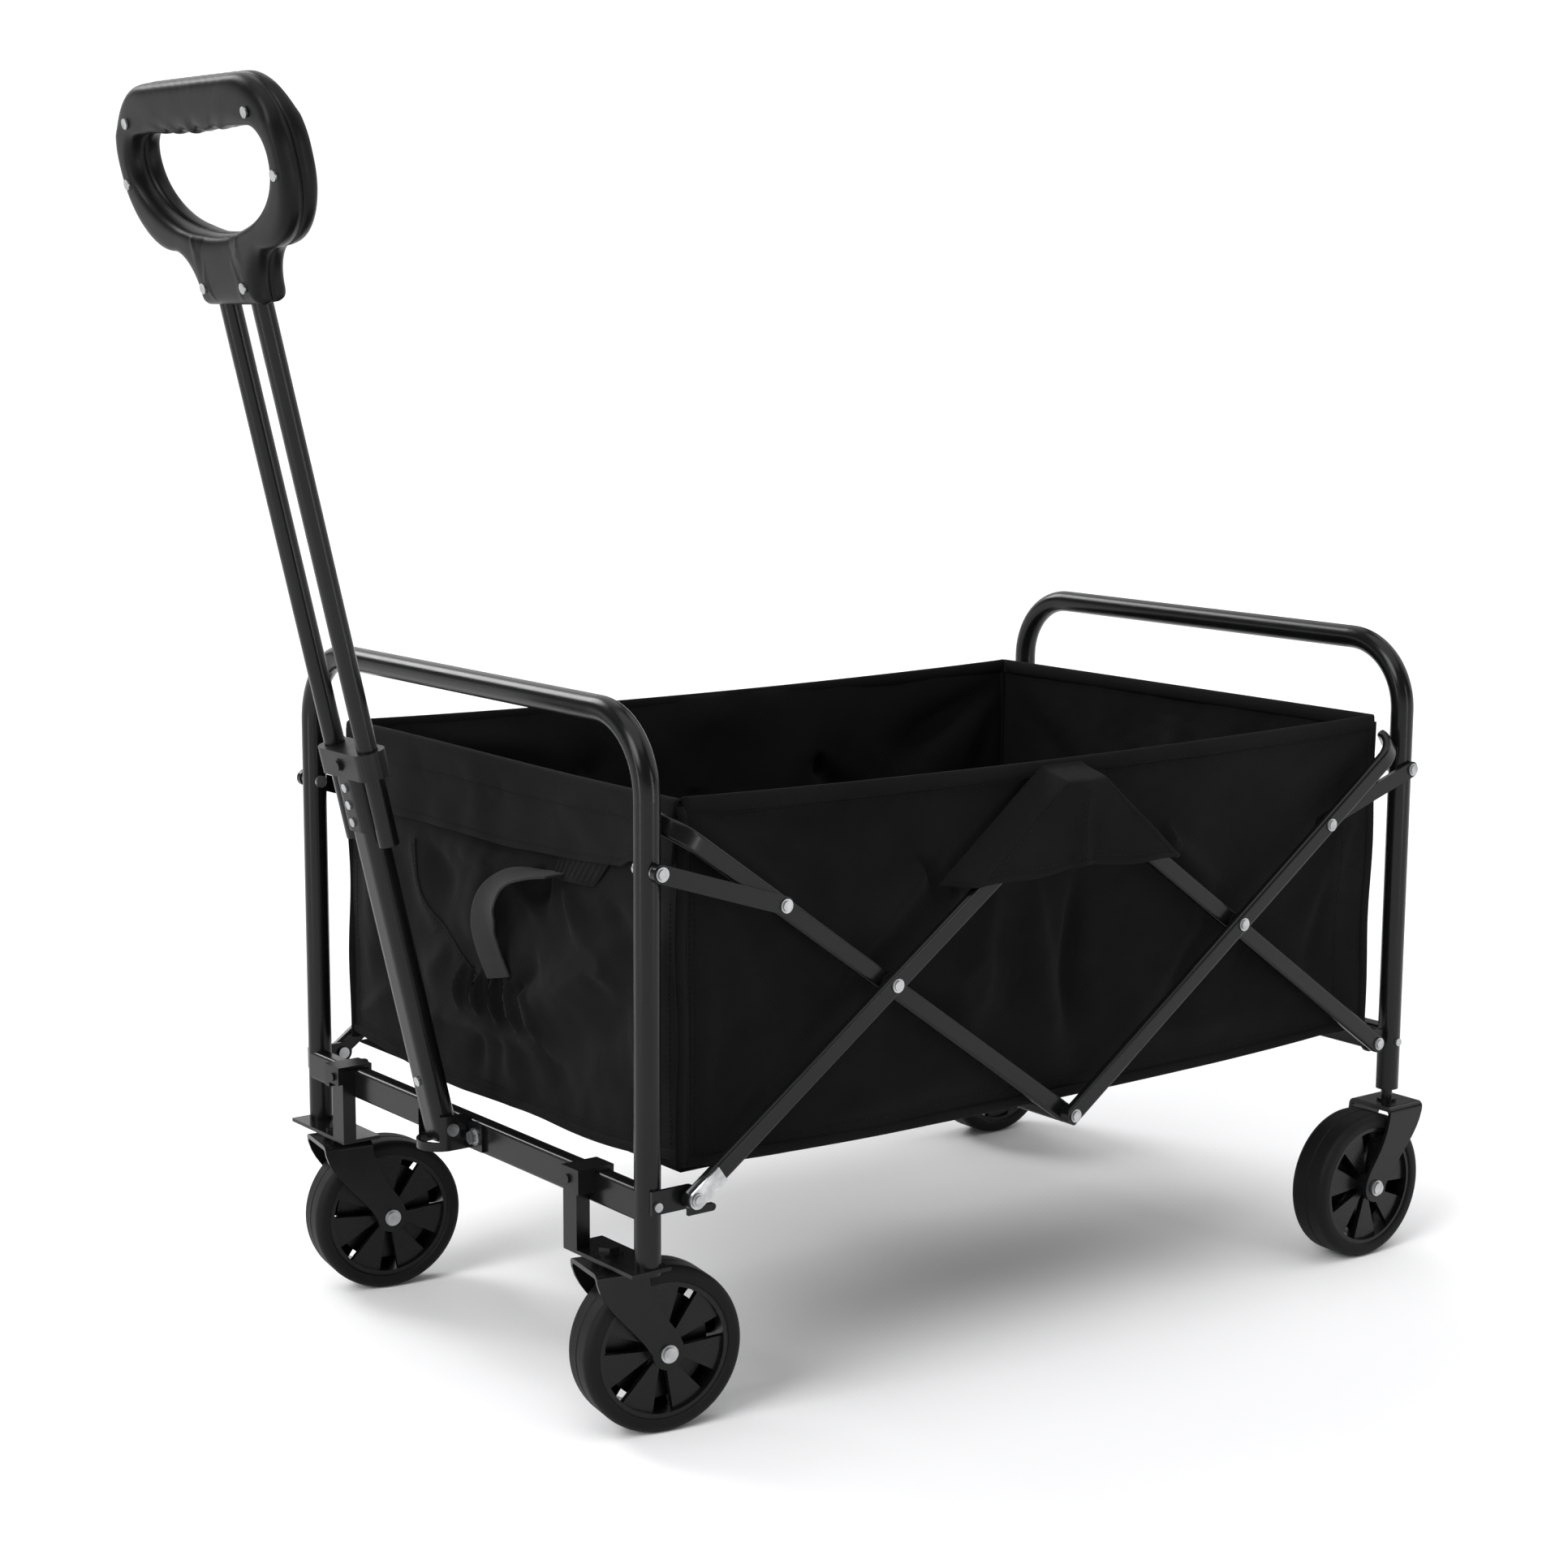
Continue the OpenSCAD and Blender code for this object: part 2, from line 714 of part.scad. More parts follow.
module front_axle(side) {
    color("#c9ccd0") on_caster(side) axle();
}

module front_rim(side) {
    color("#17181a") on_caster(side) at_axle() rim();
}

module front_tyre(side) {
    color("#232323") on_caster(side) at_axle() tyre();
}

module rear_forks() {
    color("#141516") for (side = [1, -1]) on_rear(side) fork();
}

module rear_axles() {
    color("#c9ccd0") for (side = [1, -1]) on_rear(side) axle();
}

module rear_rim(side) {
    color("#17181a") on_rear(side) at_axle() rim();
}

module rear_tyre(side) {
    color("#232323") on_rear(side) at_axle() tyre();
}

// The handle's yoke on the crossbar: a U-shaped strap with two bolted flanges
module handle_bracket() {
    face = leg_x + 3 + crossbar_depth / 2;
    inside = low_tube_y / 2 + 1;
    low = crossbar_z - yoke_low;
    high = pivot_z + yoke_high;
    color("#141516") place() difference() {
        union() {
            translate([pivot_x, 0, low]) rotate([0, 0, -90])
                rotate_extrude(angle = 180) translate([inside, 0]) square([yoke_t, high - low]);
            both_sides() {
                slab(face, pivot_x, inside, inside + yoke_t, low, high);
                slab(face, face + yoke_t, inside, inside + yoke_flange, low, low + yoke_flange);
            }
        }
        slab(pivot_x + 2, pivot_x + 40, -inside - EDGE, inside + EDGE, low + 7, high + 1);
        pin(pivot_x, pivot_z, -inside - yoke_t - 1, inside + yoke_t + 1, rivet_d);
        both_sides() translate([face - 1, inside + 12, crossbar_z + 1]) rotate([0, 90, 0])
            cylinder(h = yoke_t + 3, d = rivet_d);
    }
}

module handle_bracket_bolts() {
    face = leg_x + 3 + crossbar_depth / 2;
    color("#c9ccd0") place() both_sides()
        translate([face, low_tube_y / 2 + 13, crossbar_z + 1]) rotate([0, 90, 0]) {
            cylinder(h = 3, d = rivet_d);
            translate([0, 0, 3]) cylinder(h = 1.2, d = 14);
            translate([0, 0, 4.2]) cylinder(h = 4, d = 11, $fn = 6);
        }
}

module handle_pivot_pin() {
    half = low_tube_y / 2 + 4;
    color("#c9ccd0") place() {
        pin(pivot_x, pivot_z, -half, half, rivet_d);
        both_sides() pin(pivot_x, pivot_z, half, half + 2, small_head_d);
    }
}

// Puts its children on the handle: local z runs up the handle from its pivot
module on_handle() {
    place() translate([pivot_x, 0, pivot_z]) rotate([0, handle_lean, 0]) children();
}

module handle_lower_tube() {
    color("#1b1c1e") on_handle() difference() {
        translate([0, 0, low_tube_start]) linear_extrude(low_tube_end - low_tube_start)
            difference() {
                rounded_rect(low_tube_x, low_tube_y, 9);
                rounded_rect(low_tube_x - 3, low_tube_y - 3, 7.5);
            }
        pin(0, 0, -low_tube_y, low_tube_y, rivet_d + FIT);
    }
}

// Sleeve at the top of the lower tube, with a wide collar that guides the rods
module handle_sleeve() {
    rod_y = rod_spacing / 2;
    color("#111213") on_handle() difference() {
        union() {
            translate([0, 0, sleeve_start]) linear_extrude(collar_start - sleeve_start)
                rounded_rect(low_tube_x + 5, low_tube_y + 3, 10);
            translate([0, 0, collar_start]) linear_extrude(collar_end - collar_start)
                rounded_rect(low_tube_x + 6, rod_spacing + rod_d + 8, 11);
        }
        translate([0, 0, sleeve_start - 1]) linear_extrude(low_tube_end - sleeve_start + 1)
            rounded_rect(low_tube_x, low_tube_y, 9);
        both_sides() translate([0, rod_y, collar_start - 1])
            cylinder(h = collar_end - collar_start + 2, d = rod_d + FIT);
        both_sides() translate([0, rod_y, sleeve_start - 1])
            cylinder(h = collar_start - sleeve_start + 2, d = rod_d + 1);
        translate([1.5, 0, button_s]) rotate([0, 90, 0])
            cylinder(h = low_tube_x, d = button_d + 2 * FIT);
    }
}

module sleeve_rivets() {
    color("#c9ccd0") on_handle() {
        for (s = [8, 22, 36]) translate([low_tube_x / 2 + 2.5, 0, sleeve_start + s])
            rotate([0, 90, 0]) cylinder(h = 1.5, d = 7);
        translate([low_tube_x / 2, 0, 42]) rotate([0, 90, 0]) cylinder(h = 1.5, d = 8);
    }
}

module handle_rods() {
    color("#1b1c1e") on_handle() both_sides() translate([0, rod_spacing / 2, 0]) difference() {
        translate([0, 0, rod_start]) cylinder(h = rod_end - rod_start, d = rod_d);
        translate([0, 0, rod_start - 1])
            cylinder(h = rod_end - rod_start + 2, d = rod_d - 2 * tube_wall);
    }
}

module lock_button() {
    color("#0e0f10") on_handle() translate([5, 0, button_s]) rotate([0, 90, 0]) {
        cylinder(h = 9, d = button_d);
        translate([0, 0, 9]) cylinder(h = 2, d = button_d - 2);
    }
}

// Front view of the D-shaped grip: x is across it and y runs up from its lower end
function grip_edge() = let (bend_x = grip_width / 2 - grip_shoulder, side_z = grip_height - grip_shoulder)
    concat(oval([bend_x, 0], bend_x - grip_neck_x, grip_neck_top, 180, 90, 10),
        oval([bend_x, side_z - 12], grip_shoulder, side_z - 12 - grip_neck_top, -90, 0, 12),
        arc([bend_x, side_z], grip_shoulder, 0, 90, 12));
function grip_hole() = let (side = grip_width / 2 - grip_ring, high = hole_top - hole_corner)
    concat(oval([0, high], side, high - hole_bottom, -90, 0, 16),
        arc([side - hole_corner, high], hole_corner, 0, 90, 6));

module grip_half() {
    translate([0, 0, grip_start]) rotate([90, 0, 90]) difference() {
        linear_extrude(grip_thick / 2) difference() {
            polygon(concat(grip_edge(), mirrored(grip_edge())));
            polygon(concat(grip_hole(), mirrored(grip_hole())));
        }
        for (p = grip_screw_places) translate([p.x, p.y, -1])
            cylinder(h = grip_thick, d = 4);
    }
}

module grip_shell() {
    difference() {
        grip_half();
        both_sides() translate([0, rod_spacing / 2, grip_start - 1])
            cylinder(h = rod_end - grip_start + 1, d = rod_d);
    }
}

module grip_front_shell() {
    color("#121314") on_handle() grip_shell();
}

module grip_rear_shell() {
    color("#121314") on_handle() mirror([1, 0, 0]) grip_shell();
}

module grip_screws() {
    color("#c9ccd0") on_handle() translate([0, 0, grip_start]) rotate([90, 0, 90])
        for (p = grip_screw_places) translate([p.x, p.y, grip_thick / 2])
            cylinder(h = 1.5, d = 8);
}

// Fabric panels are plain here, with the basket's true outer size
module basket_front_panel() {
    color("#1d1e20") place()
        slab(basket_x, basket_x + panel_thick, GAP - basket_y, basket_y - GAP,
            basket_floor_z, basket_top_z);
}

module basket_rear_panel() {
    color("#1d1e20") place()
        slab(-basket_x - panel_thick, -basket_x, GAP - basket_y, basket_y - GAP,
            basket_floor_z, basket_top_z);
}

module basket_sides() {
    color("#1d1e20") place() both_sides()
        slab(GAP - basket_x, basket_x - GAP, basket_y - panel_thick, basket_y,
            basket_floor_z, basket_top_z);
}

module basket_floor() {
    inset = panel_thick + GAP;
    color("#1d1e20") place()
        slab(GAP - basket_x, basket_x - GAP, inset - basket_y, basket_y - inset,
            basket_floor_z, basket_floor_z + panel_thick);
}

// A loose flap on each side that covers the upper middle pivot
module basket_flaps() {
    top = peak_z + flap_rise;
    color("#222326") place() both_sides() {
        translate([0, flap_y + flap_t, 0]) rotate([90, 0, 0]) linear_extrude(flap_t)
            polygon(concat([[-flap_top_half, top], [flap_top_half, top]], flap_points));
        slab(-flap_top_half, flap_top_half, basket_y, flap_y, top - flap_cover_t, top);
    }
}

// Webbing carry loop on the front panel
module front_strap() {
    color("#18191b") place()
        translate([basket_x + panel_thick, loop_centre.x, loop_centre.y])
        rotate([90, 0, 90]) linear_extrude(loop_t) polygon(concat(
            arc([0, 0], loop_outer_r, 80, 185, 14), arc([0, 0], loop_inner_r, 185, 80, 14)));
}

front_frame();
front_crossbar();
front_drop_frames();
drop_tube_clamps();
front_hinge_brackets();
front_rivets();
front_kingpins();
handle_bracket();
handle_bracket_bolts();
handle_pivot_pin();
basket_front_panel();
basket_sides();
basket_floor();
basket_flaps();
front_strap();
handle_lower_tube();
handle_sleeve();
sleeve_rivets();
handle_rods();
grip_front_shell();
grip_rear_shell();
grip_screws();
lock_button();
front_fork(1);  // front_left_fork
front_fork(-1);  // front_right_fork
front_axle(1);  // front_left_axle
front_axle(-1);  // front_right_axle
front_rim(1);  // front_left_rim
front_rim(-1);  // front_right_rim
front_tyre(1);  // front_left_tyre
front_tyre(-1);  // front_right_tyre
rear_forks();
rear_axles();
rear_rim(1);  // rear_left_rim
rear_rim(-1);  // rear_right_rim
rear_tyre(1);  // rear_left_tyre
rear_tyre(-1);  // rear_right_tyre
left_arm("front_rising");  // front_rising_arm_left
right_arm("front_rising");  // front_rising_arm_right
left_arm("front_falling");  // front_falling_arm_left
right_arm("front_falling");  // front_falling_arm_right
left_arm("rear_rising");  // rear_rising_arm_left
right_arm("rear_rising");  // rear_rising_arm_right
left_arm("rear_falling");  // rear_falling_arm_left
right_arm("rear_falling");  // rear_falling_arm_right
front_arm_lugs();
front_arm_rivets();
front_arm_spacers();
rear_arm_rivets();
rear_arm_spacers();
front_links();
front_link_rivets();
rear_links();
middle_cross_tube();
rear_frame();
rear_crossbar();
rear_hinge_brackets();
rear_fasteners();
rear_stems();
basket_rear_panel();
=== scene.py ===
"""Folding shopping trolley: fabric, grip, finishes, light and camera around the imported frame."""
import json
import math

import bmesh
import bpy
import numpy as np
from mathutils import Matrix, Vector


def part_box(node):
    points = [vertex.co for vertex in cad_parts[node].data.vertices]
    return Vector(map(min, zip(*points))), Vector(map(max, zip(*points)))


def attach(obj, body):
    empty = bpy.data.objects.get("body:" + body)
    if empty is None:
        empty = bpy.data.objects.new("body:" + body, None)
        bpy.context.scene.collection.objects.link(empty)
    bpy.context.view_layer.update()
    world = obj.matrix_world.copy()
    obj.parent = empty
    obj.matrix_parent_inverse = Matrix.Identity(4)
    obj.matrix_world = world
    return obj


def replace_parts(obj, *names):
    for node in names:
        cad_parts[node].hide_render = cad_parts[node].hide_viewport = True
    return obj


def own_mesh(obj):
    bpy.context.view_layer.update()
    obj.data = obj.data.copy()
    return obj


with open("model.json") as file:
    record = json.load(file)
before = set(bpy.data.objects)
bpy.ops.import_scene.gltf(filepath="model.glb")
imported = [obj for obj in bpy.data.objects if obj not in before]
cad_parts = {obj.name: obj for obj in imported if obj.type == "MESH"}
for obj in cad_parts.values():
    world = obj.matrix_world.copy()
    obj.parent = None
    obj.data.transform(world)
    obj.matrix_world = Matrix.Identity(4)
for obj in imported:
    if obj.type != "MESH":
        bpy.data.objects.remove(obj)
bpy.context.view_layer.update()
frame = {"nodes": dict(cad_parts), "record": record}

# ---------------------------------------------------------------- places, all in metres
# x of the point half way between the legs; drawings below count x from there
MID = (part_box("front_frame")[1][0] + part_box("rear_frame")[0][0]) / 2
FRONT_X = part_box("basket_front_panel")[0][0] - MID      # where the side panels end
SIDE_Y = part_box("basket_sides")[1][1]
FLOOR_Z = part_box("basket_floor")[0][2]
TOP_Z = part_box("basket_sides")[1][2]
HEIGHT = TOP_Z - FLOOR_Z
CLOTH = 0.0014
PIVOT = Vector((0.434, 0, 0.197))       # the handle's pin
LEAN = math.radians(13.4)               # of the handle, forward from upright


def place(x, y, z):
    return (x + MID, y, z)


# ---------------------------------------------------------------- materials
def new_material(name):
    m = bpy.data.materials.new(name)
    m.use_nodes = True
    return m, m.node_tree, m.node_tree.nodes["Principled BSDF"]


def node(tree, kind, **values):
    n = tree.nodes.new(kind)
    for k, v in values.items():
        if k in n.inputs:
            n.inputs[k].default_value = v
        else:
            setattr(n, k, v)
    return n


def ramp(tree, source, low, high, at=(0.3, 0.7)):
    """A colour that goes from low to high as source does."""
    r = tree.nodes.new("ShaderNodeValToRGB")
    for stop, place_at, colour in zip(r.color_ramp.elements, at, (low, high)):
        stop.position = place_at
        stop.color = (*colour, 1)
    tree.links.new(source, r.inputs["Fac"])
    return r.outputs["Color"]


def spread(tree, source, low, high):
    """A number that goes from low to high as source goes from 0 to 1."""
    m = node(tree, "ShaderNodeMapRange")
    m.inputs["To Min"].default_value = low
    m.inputs["To Max"].default_value = high
    tree.links.new(source, m.inputs["Value"])
    return m.outputs["Result"]


def noise(tree, scale, detail=3.0, rough=0.5):
    where = tree.nodes.new("ShaderNodeTexCoord").outputs["Object"]
    n = node(tree, "ShaderNodeTexNoise", Scale=scale, Detail=detail, Roughness=rough)
    tree.links.new(where, n.inputs["Vector"])
    return n.outputs["Fac"]


def bumps(tree, shader, layers):
    """Chains bump layers of (height, strength, distance) into the shader's normal."""
    last = None
    for height, strength, distance in layers:
        b = node(tree, "ShaderNodeBump", Strength=strength, Distance=distance)
        tree.links.new(height, b.inputs["Height"])
        if last:
            tree.links.new(last, b.inputs["Normal"])
        last = b.outputs["Normal"]
    tree.links.new(last, shader.inputs["Normal"])


def coated_steel(name, low, high, gloss, shine=0.26, grain=900.0, depth=0.00005):
    """Satin powder coat: a fine orange-peel grain with slow changes of shade and gloss."""
    m, t, s = new_material(name)
    t.links.new(ramp(t, noise(t, 9.0, 4.0), low, high), s.inputs["Base Color"])
    t.links.new(spread(t, noise(t, 40.0, 5.0), gloss - 0.05, gloss + 0.07), s.inputs["Roughness"])
    s.inputs["Specular IOR Level"].default_value = shine
    bumps(t, s, [(noise(t, grain, 2.0), 0.35, depth)])
    return m


def moulded(name, low, high, gloss, shine=0.28, grain=1400.0, depth=0.00006):
    m, t, s = new_material(name)
    t.links.new(ramp(t, noise(t, 14.0, 4.0), low, high), s.inputs["Base Color"])
    t.links.new(spread(t, noise(t, 60.0, 4.0), gloss - 0.05, gloss + 0.08), s.inputs["Roughness"])
    s.inputs["Specular IOR Level"].default_value = shine
    bumps(t, s, [(noise(t, grain, 2.0), 0.5, depth)])
    return m


def bright_steel(name, low, high, gloss):
    m, t, s = new_material(name)
    t.links.new(ramp(t, noise(t, 120.0, 4.0), low, high), s.inputs["Base Color"])
    t.links.new(spread(t, noise(t, 300.0, 3.0), gloss - 0.08, gloss + 0.1), s.inputs["Roughness"])
    s.inputs["Metallic"].default_value = 1.0
    bumps(t, s, [(noise(t, 700.0, 3.0), 0.3, 0.00004)])
    return m


def weave(name, low, high, pitch, sheen, depth=0.00016, ribs=False):
    """Woven cloth. The threads follow the sheet's own UV map, which is in metres."""
    m, t, s = new_material(name)
    uv = t.nodes.new("ShaderNodeUVMap")
    waves = []
    for axis in (("X",) if ribs else ("X", "Y")):
        w = node(t, "ShaderNodeTexWave", bands_direction=axis, wave_profile="SIN", Distortion=0.6)
        w.inputs["Scale"].default_value = 0.314 / pitch
        w.inputs["Detail Scale"].default_value = 2.0
        t.links.new(uv.outputs["UV"], w.inputs["Vector"])
        waves.append(w.outputs["Fac"])
    thread = waves[0]
    if not ribs:
        mix = node(t, "ShaderNodeMath", operation="MULTIPLY")
        t.links.new(waves[0], mix.inputs[0])
        t.links.new(waves[1], mix.inputs[1])
        thread = mix.outputs["Value"]
    cloud = noise(t, 7.0, 5.0, 0.6)
    t.links.new(ramp(t, cloud, low, high), s.inputs["Base Color"])
    t.links.new(spread(t, noise(t, 30.0, 3.0), 0.78, 0.95), s.inputs["Roughness"])
    s.inputs["Specular IOR Level"].default_value = 0.07
    s.inputs["Sheen Weight"].default_value = sheen
    s.inputs["Sheen Roughness"].default_value = 0.45
    bumps(t, s, [(noise(t, 55.0, 4.0), 0.25, 0.0012), (thread, 0.6, depth)])
    return m


BLACK_STEEL = coated_steel("black_steel", (0.0030, 0.0031, 0.0034), (0.0055, 0.0057, 0.0062), 0.22, 0.22)
ZINC = bright_steel("zinc_steel", (0.30, 0.305, 0.31), (0.48, 0.485, 0.49), 0.36)
BARE = bright_steel("bare_steel", (0.34, 0.345, 0.35), (0.58, 0.585, 0.59), 0.36)
PLASTIC = moulded("black_plastic", (0.0030, 0.0030, 0.0032), (0.0055, 0.0055, 0.0058), 0.36, 0.22)
GRIP = moulded("grip_plastic", (0.0028, 0.0028, 0.0030), (0.0050, 0.0050, 0.0054), 0.36, 0.13, 1100.0)
WHEEL = moulded("wheel_plastic", (0.0025, 0.0025, 0.0027), (0.0048, 0.0048, 0.0052), 0.26, 0.24)
RUBBER = moulded("tyre_rubber", (0.0034, 0.0034, 0.0036), (0.0065, 0.0065, 0.0068), 0.55, 0.12,
                 700.0, 0.0001)
FABRIC = weave("basket_fabric", (0.0033, 0.0033, 0.0035), (0.0064, 0.0064, 0.0067), 0.0006, 0.015)
# Painted light: a lighter copy of the basket fabric for the front end's cloth, standing in for the
# stronger light that falls on the front panel
FRONT_FABRIC_PAINTED_LIGHTER = weave("front_fabric_painted_lighter", (0.0038, 0.0038, 0.0041), (0.0072, 0.0072, 0.0076), 0.0006, 0.02)
WEBBING = weave("webbing", (0.016, 0.016, 0.017), (0.026, 0.026, 0.027), 0.0012, 0.05,
                0.0003, ribs=True)
THREAD = weave("thread", (0.004, 0.004, 0.0045), (0.011, 0.011, 0.0115), 0.0004, 0.05, 0.0001)
SLOTS = {"black_steel": BLACK_STEEL, "zinc_steel": ZINC, "bare_steel": BARE,
         "black_plastic": PLASTIC, "grip_plastic": GRIP, "wheel_plastic": WHEEL,
         "tyre_rubber": RUBBER, "basket_fabric": FABRIC, "webbing": WEBBING}

for part in frame["record"]["subparts"]:
    mesh = frame["nodes"][part["node"]].data
    mesh.materials.clear()
    mesh.materials.append(SLOTS[part["material_slot"]])


# ---------------------------------------------------------------- cloth in mesh code
def finish_piece(obj, body, material):
    obj.data.materials.append(material)
    obj.data.polygons.foreach_set("use_smooth", [True] * len(obj.data.polygons))
    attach(obj, body)
    return obj


def turn_faces_out(obj):
    bm = bmesh.new()
    bm.from_mesh(obj.data)
    bmesh.ops.recalc_face_normals(bm, faces=bm.faces)
    bm.to_mesh(obj.data)
    bm.free()


def mesh_object(name, points, faces, uv=None):
    data = bpy.data.meshes.new(name)
    data.from_pydata([tuple(p) for p in points], [], faces)
    if uv is not None:
        layer = data.uv_layers.new(name="UVMap")
        corner = np.zeros(len(data.loops), int)
        data.loops.foreach_get("vertex_index", corner)
        layer.data.foreach_set("uv", np.asarray(uv, float)[corner].astype(np.float32).ravel())
    data.update()
    obj = bpy.data.objects.new(name, data)
    bpy.context.scene.collection.objects.link(obj)
    return obj


def grid_faces(nu, nv, loop_u=False):
    cols = nu if loop_u else nu - 1
    return [(j * nu + i, j * nu + (i + 1) % nu, (j + 1) * nu + (i + 1) % nu, (j + 1) * nu + i)
            for j in range(nv - 1) for i in range(cols)]


def sheet_object(name, nu, nv, shape, size, thick=CLOTH, flip=False):
    """A cloth grid. shape(U, V) takes arrays from 0 to 1 and returns x, y and z arrays."""
    U, V = np.meshgrid(np.linspace(0, 1, nu), np.linspace(0, 1, nv))
    x, y, z = shape(U, V)
    points = np.stack([x + MID, y, z], -1).reshape(-1, 3)
    uv = np.stack([U * size[0], V * size[1]], -1).reshape(-1, 2)
    faces = grid_faces(nu, nv)
    obj = mesh_object(name, points, [f[::-1] for f in faces] if flip else faces, uv)
    solid = obj.modifiers.new("thickness", "SOLIDIFY")
    solid.thickness = thick
    solid.offset = 0
    return obj


def fold(P, Q, a, b, width, height, skew=0.35, ends=0.8):
    """Height of a soft fold that runs from a to b over a sheet with coordinates P, Q."""
    ax, az = a
    dx, dz = b[0] - ax, b[1] - az
    length = math.hypot(dx, dz)
    t = ((P - ax) * dx + (Q - az) * dz) / length ** 2
    across = ((Q - az) * dx - (P - ax) * dz) / length
    reach = np.clip(t, 0, 1)
    fade = np.sin(np.pi * np.clip(reach * 0.96 + 0.02, 0, 1)) ** ends
    fade = np.where((t < -0.05) | (t > 1.05), 0, fade)
    s = across / (width * (0.55 + 0.9 * reach))
    return height * fade * (np.exp(-s * s) - skew * s * np.exp(-s * s))


def waves(P, Q, seed, count, low, high, height):
    """Slow uneven swell of cloth: a seeded sum of waves between two wavelengths."""
    rng = np.random.default_rng(seed)
    total = np.zeros_like(P)
    for _ in range(count):
        turn, phase = rng.uniform(0, math.tau, 2)
        length = rng.uniform(low, high)
        total += np.sin((P * math.cos(turn) + Q * math.sin(turn)) * math.tau / length + phase)
    return height * total / math.sqrt(count)


def edge_fade(U, V, power=0.6):
    """0 on the sheet's edges and 1 in its middle."""
    return (np.clip(4 * U * (1 - U), 0, 1) * np.clip(4 * V * (1 - V), 0, 1)) ** power


# ---------------------------------------------------------------- side panels
SIDE_FOLDS = [
    ((0.365, 0.470), (0.215, 0.330), 0.016, 0.0060), ((0.360, 0.462), (0.300, 0.300), 0.013, 0.0045),
    ((0.350, 0.474), (0.150, 0.440), 0.016, -0.0050), ((0.205, 0.340), (0.105, 0.440), 0.015, 0.0050),
    ((0.180, 0.318), (0.040, 0.300), 0.020, 0.0045), ((0.200, 0.300), (0.330, 0.215), 0.020, -0.0055),
    ((0.360, 0.215), (0.250, 0.330), 0.016, 0.0050), ((0.350, 0.235), (0.345, 0.400), 0.011, 0.0035),
    ((0.020, 0.385), (0.000, 0.215), 0.017, 0.0055), ((-0.030, 0.380), (-0.020, 0.240), 0.012, -0.0045),
    ((0.060, 0.380), (0.110, 0.240), 0.018, 0.0040), ((0.130, 0.408), (0.100, 0.372), 0.008, 0.0050),
    ((0.148, 0.420), (0.108, 0.382), 0.006, -0.0040), ((-0.120, 0.405), (-0.190, 0.350), 0.013, 0.0045),
    ((-0.129, 0.414), (-0.134, 0.392), 0.006, 0.0050), ((-0.180, 0.320), (-0.120, 0.225), 0.018, -0.0050),
    ((-0.365, 0.468), (-0.220, 0.400), 0.018, 0.0060), ((-0.360, 0.440), (-0.300, 0.300), 0.015, 0.0050),
    ((-0.340, 0.230), (-0.230, 0.290), 0.016, 0.0045), ((-0.325, 0.360), (-0.300, 0.250), 0.012, -0.0040),
    ((0.240, 0.222), (0.060, 0.232), 0.012, 0.0030), ((-0.060, 0.235), (-0.280, 0.232), 0.012, 0.0030),
]
# Places where the arms' rivets lie close to the cloth
RIVETS = [(0.1891, 0.3274), (0.0, 0.4618), (-0.1891, 0.3274), (0.0, 0.193)]


def side_depth(X, Z, U, V, seed):
    """How far a side panel stands in from the plane behind the arms."""
    depth = 0.0120 * edge_fade(U, V, 0.8)
    relief = 2.3 * sum(fold(X, Z, *f) for f in SIDE_FOLDS)
    relief = relief + waves(X, Z, seed, 9, 0.07, 0.22, 0.0016)
    relief = relief + waves(X, Z, seed + 1, 9, 0.02, 0.05, 0.0003)
    depth = depth - relief * edge_fade(U, V, 0.35)
    for rx, rz in RIVETS:
        depth = depth + 0.0055 * np.exp(-((X - rx) ** 2 + (Z - rz) ** 2) / 0.022 ** 2)
    return np.clip(depth, -0.0022, 0.03)


def side_line(U):
    """Heights of the panel's lower and upper edges."""
    low = FLOOR_Z + 0.0005 + 0.006 * (2 * U - 1) ** 4 - 0.003 * np.sin(np.pi * U)
    high = TOP_Z - 0.0055 * np.sin(np.pi * U) ** 0.8
    return low, high


def side_shape(sign, seed):
    def shape(U, V):
        low, high = side_line(U)
        Z = low + (high - low) * V
        pull = 0.0012 * np.sin(np.pi * V) ** 1.2
        X = -FRONT_X + 2 * FRONT_X * U
        X = X + pull * np.exp(-(U / 0.06) ** 2)
        return X, sign * (SIDE_Y - 0.0007 - side_depth(X, Z, U, V, seed)), Z
    return shape


def squash_with_fold(obj):
    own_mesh(obj)


def band_object(name, line, half_h, half_t, sides=10):
    """A rolled hem: an oval ribbon along a line of points, each with its outward direction."""
    points, uv = [], []
    run, last_up = 0.0, Vector((0, 0, 1))
    for k, (p, out) in enumerate(line):
        p, out = Vector(p), Vector(out).normalized()
        ahead = Vector(line[min(k + 1, len(line) - 1)][0]) - Vector(line[max(k - 1, 0)][0])
        up = ahead.cross(out).normalized()
        if up.dot(last_up) < 0:
            up = -up
        last_up = up
        if k:
            run += (p - Vector(line[k - 1][0])).length
        for i in range(sides):
            a = math.tau * i / sides
            flat = math.copysign(abs(math.sin(a)) ** 0.7, math.sin(a))
            points.append(p + up * (half_h * flat) + out * (half_t * math.cos(a)))
            uv.append((run, half_h * flat))
    n = len(line)
    faces = grid_faces(sides, n, loop_u=True)
    faces += [tuple(range(sides))[::-1], tuple(range((n - 1) * sides, n * sides))]
    obj = mesh_object(name, [place(*q) for q in points], faces, uv)
    turn_faces_out(obj)
    return obj


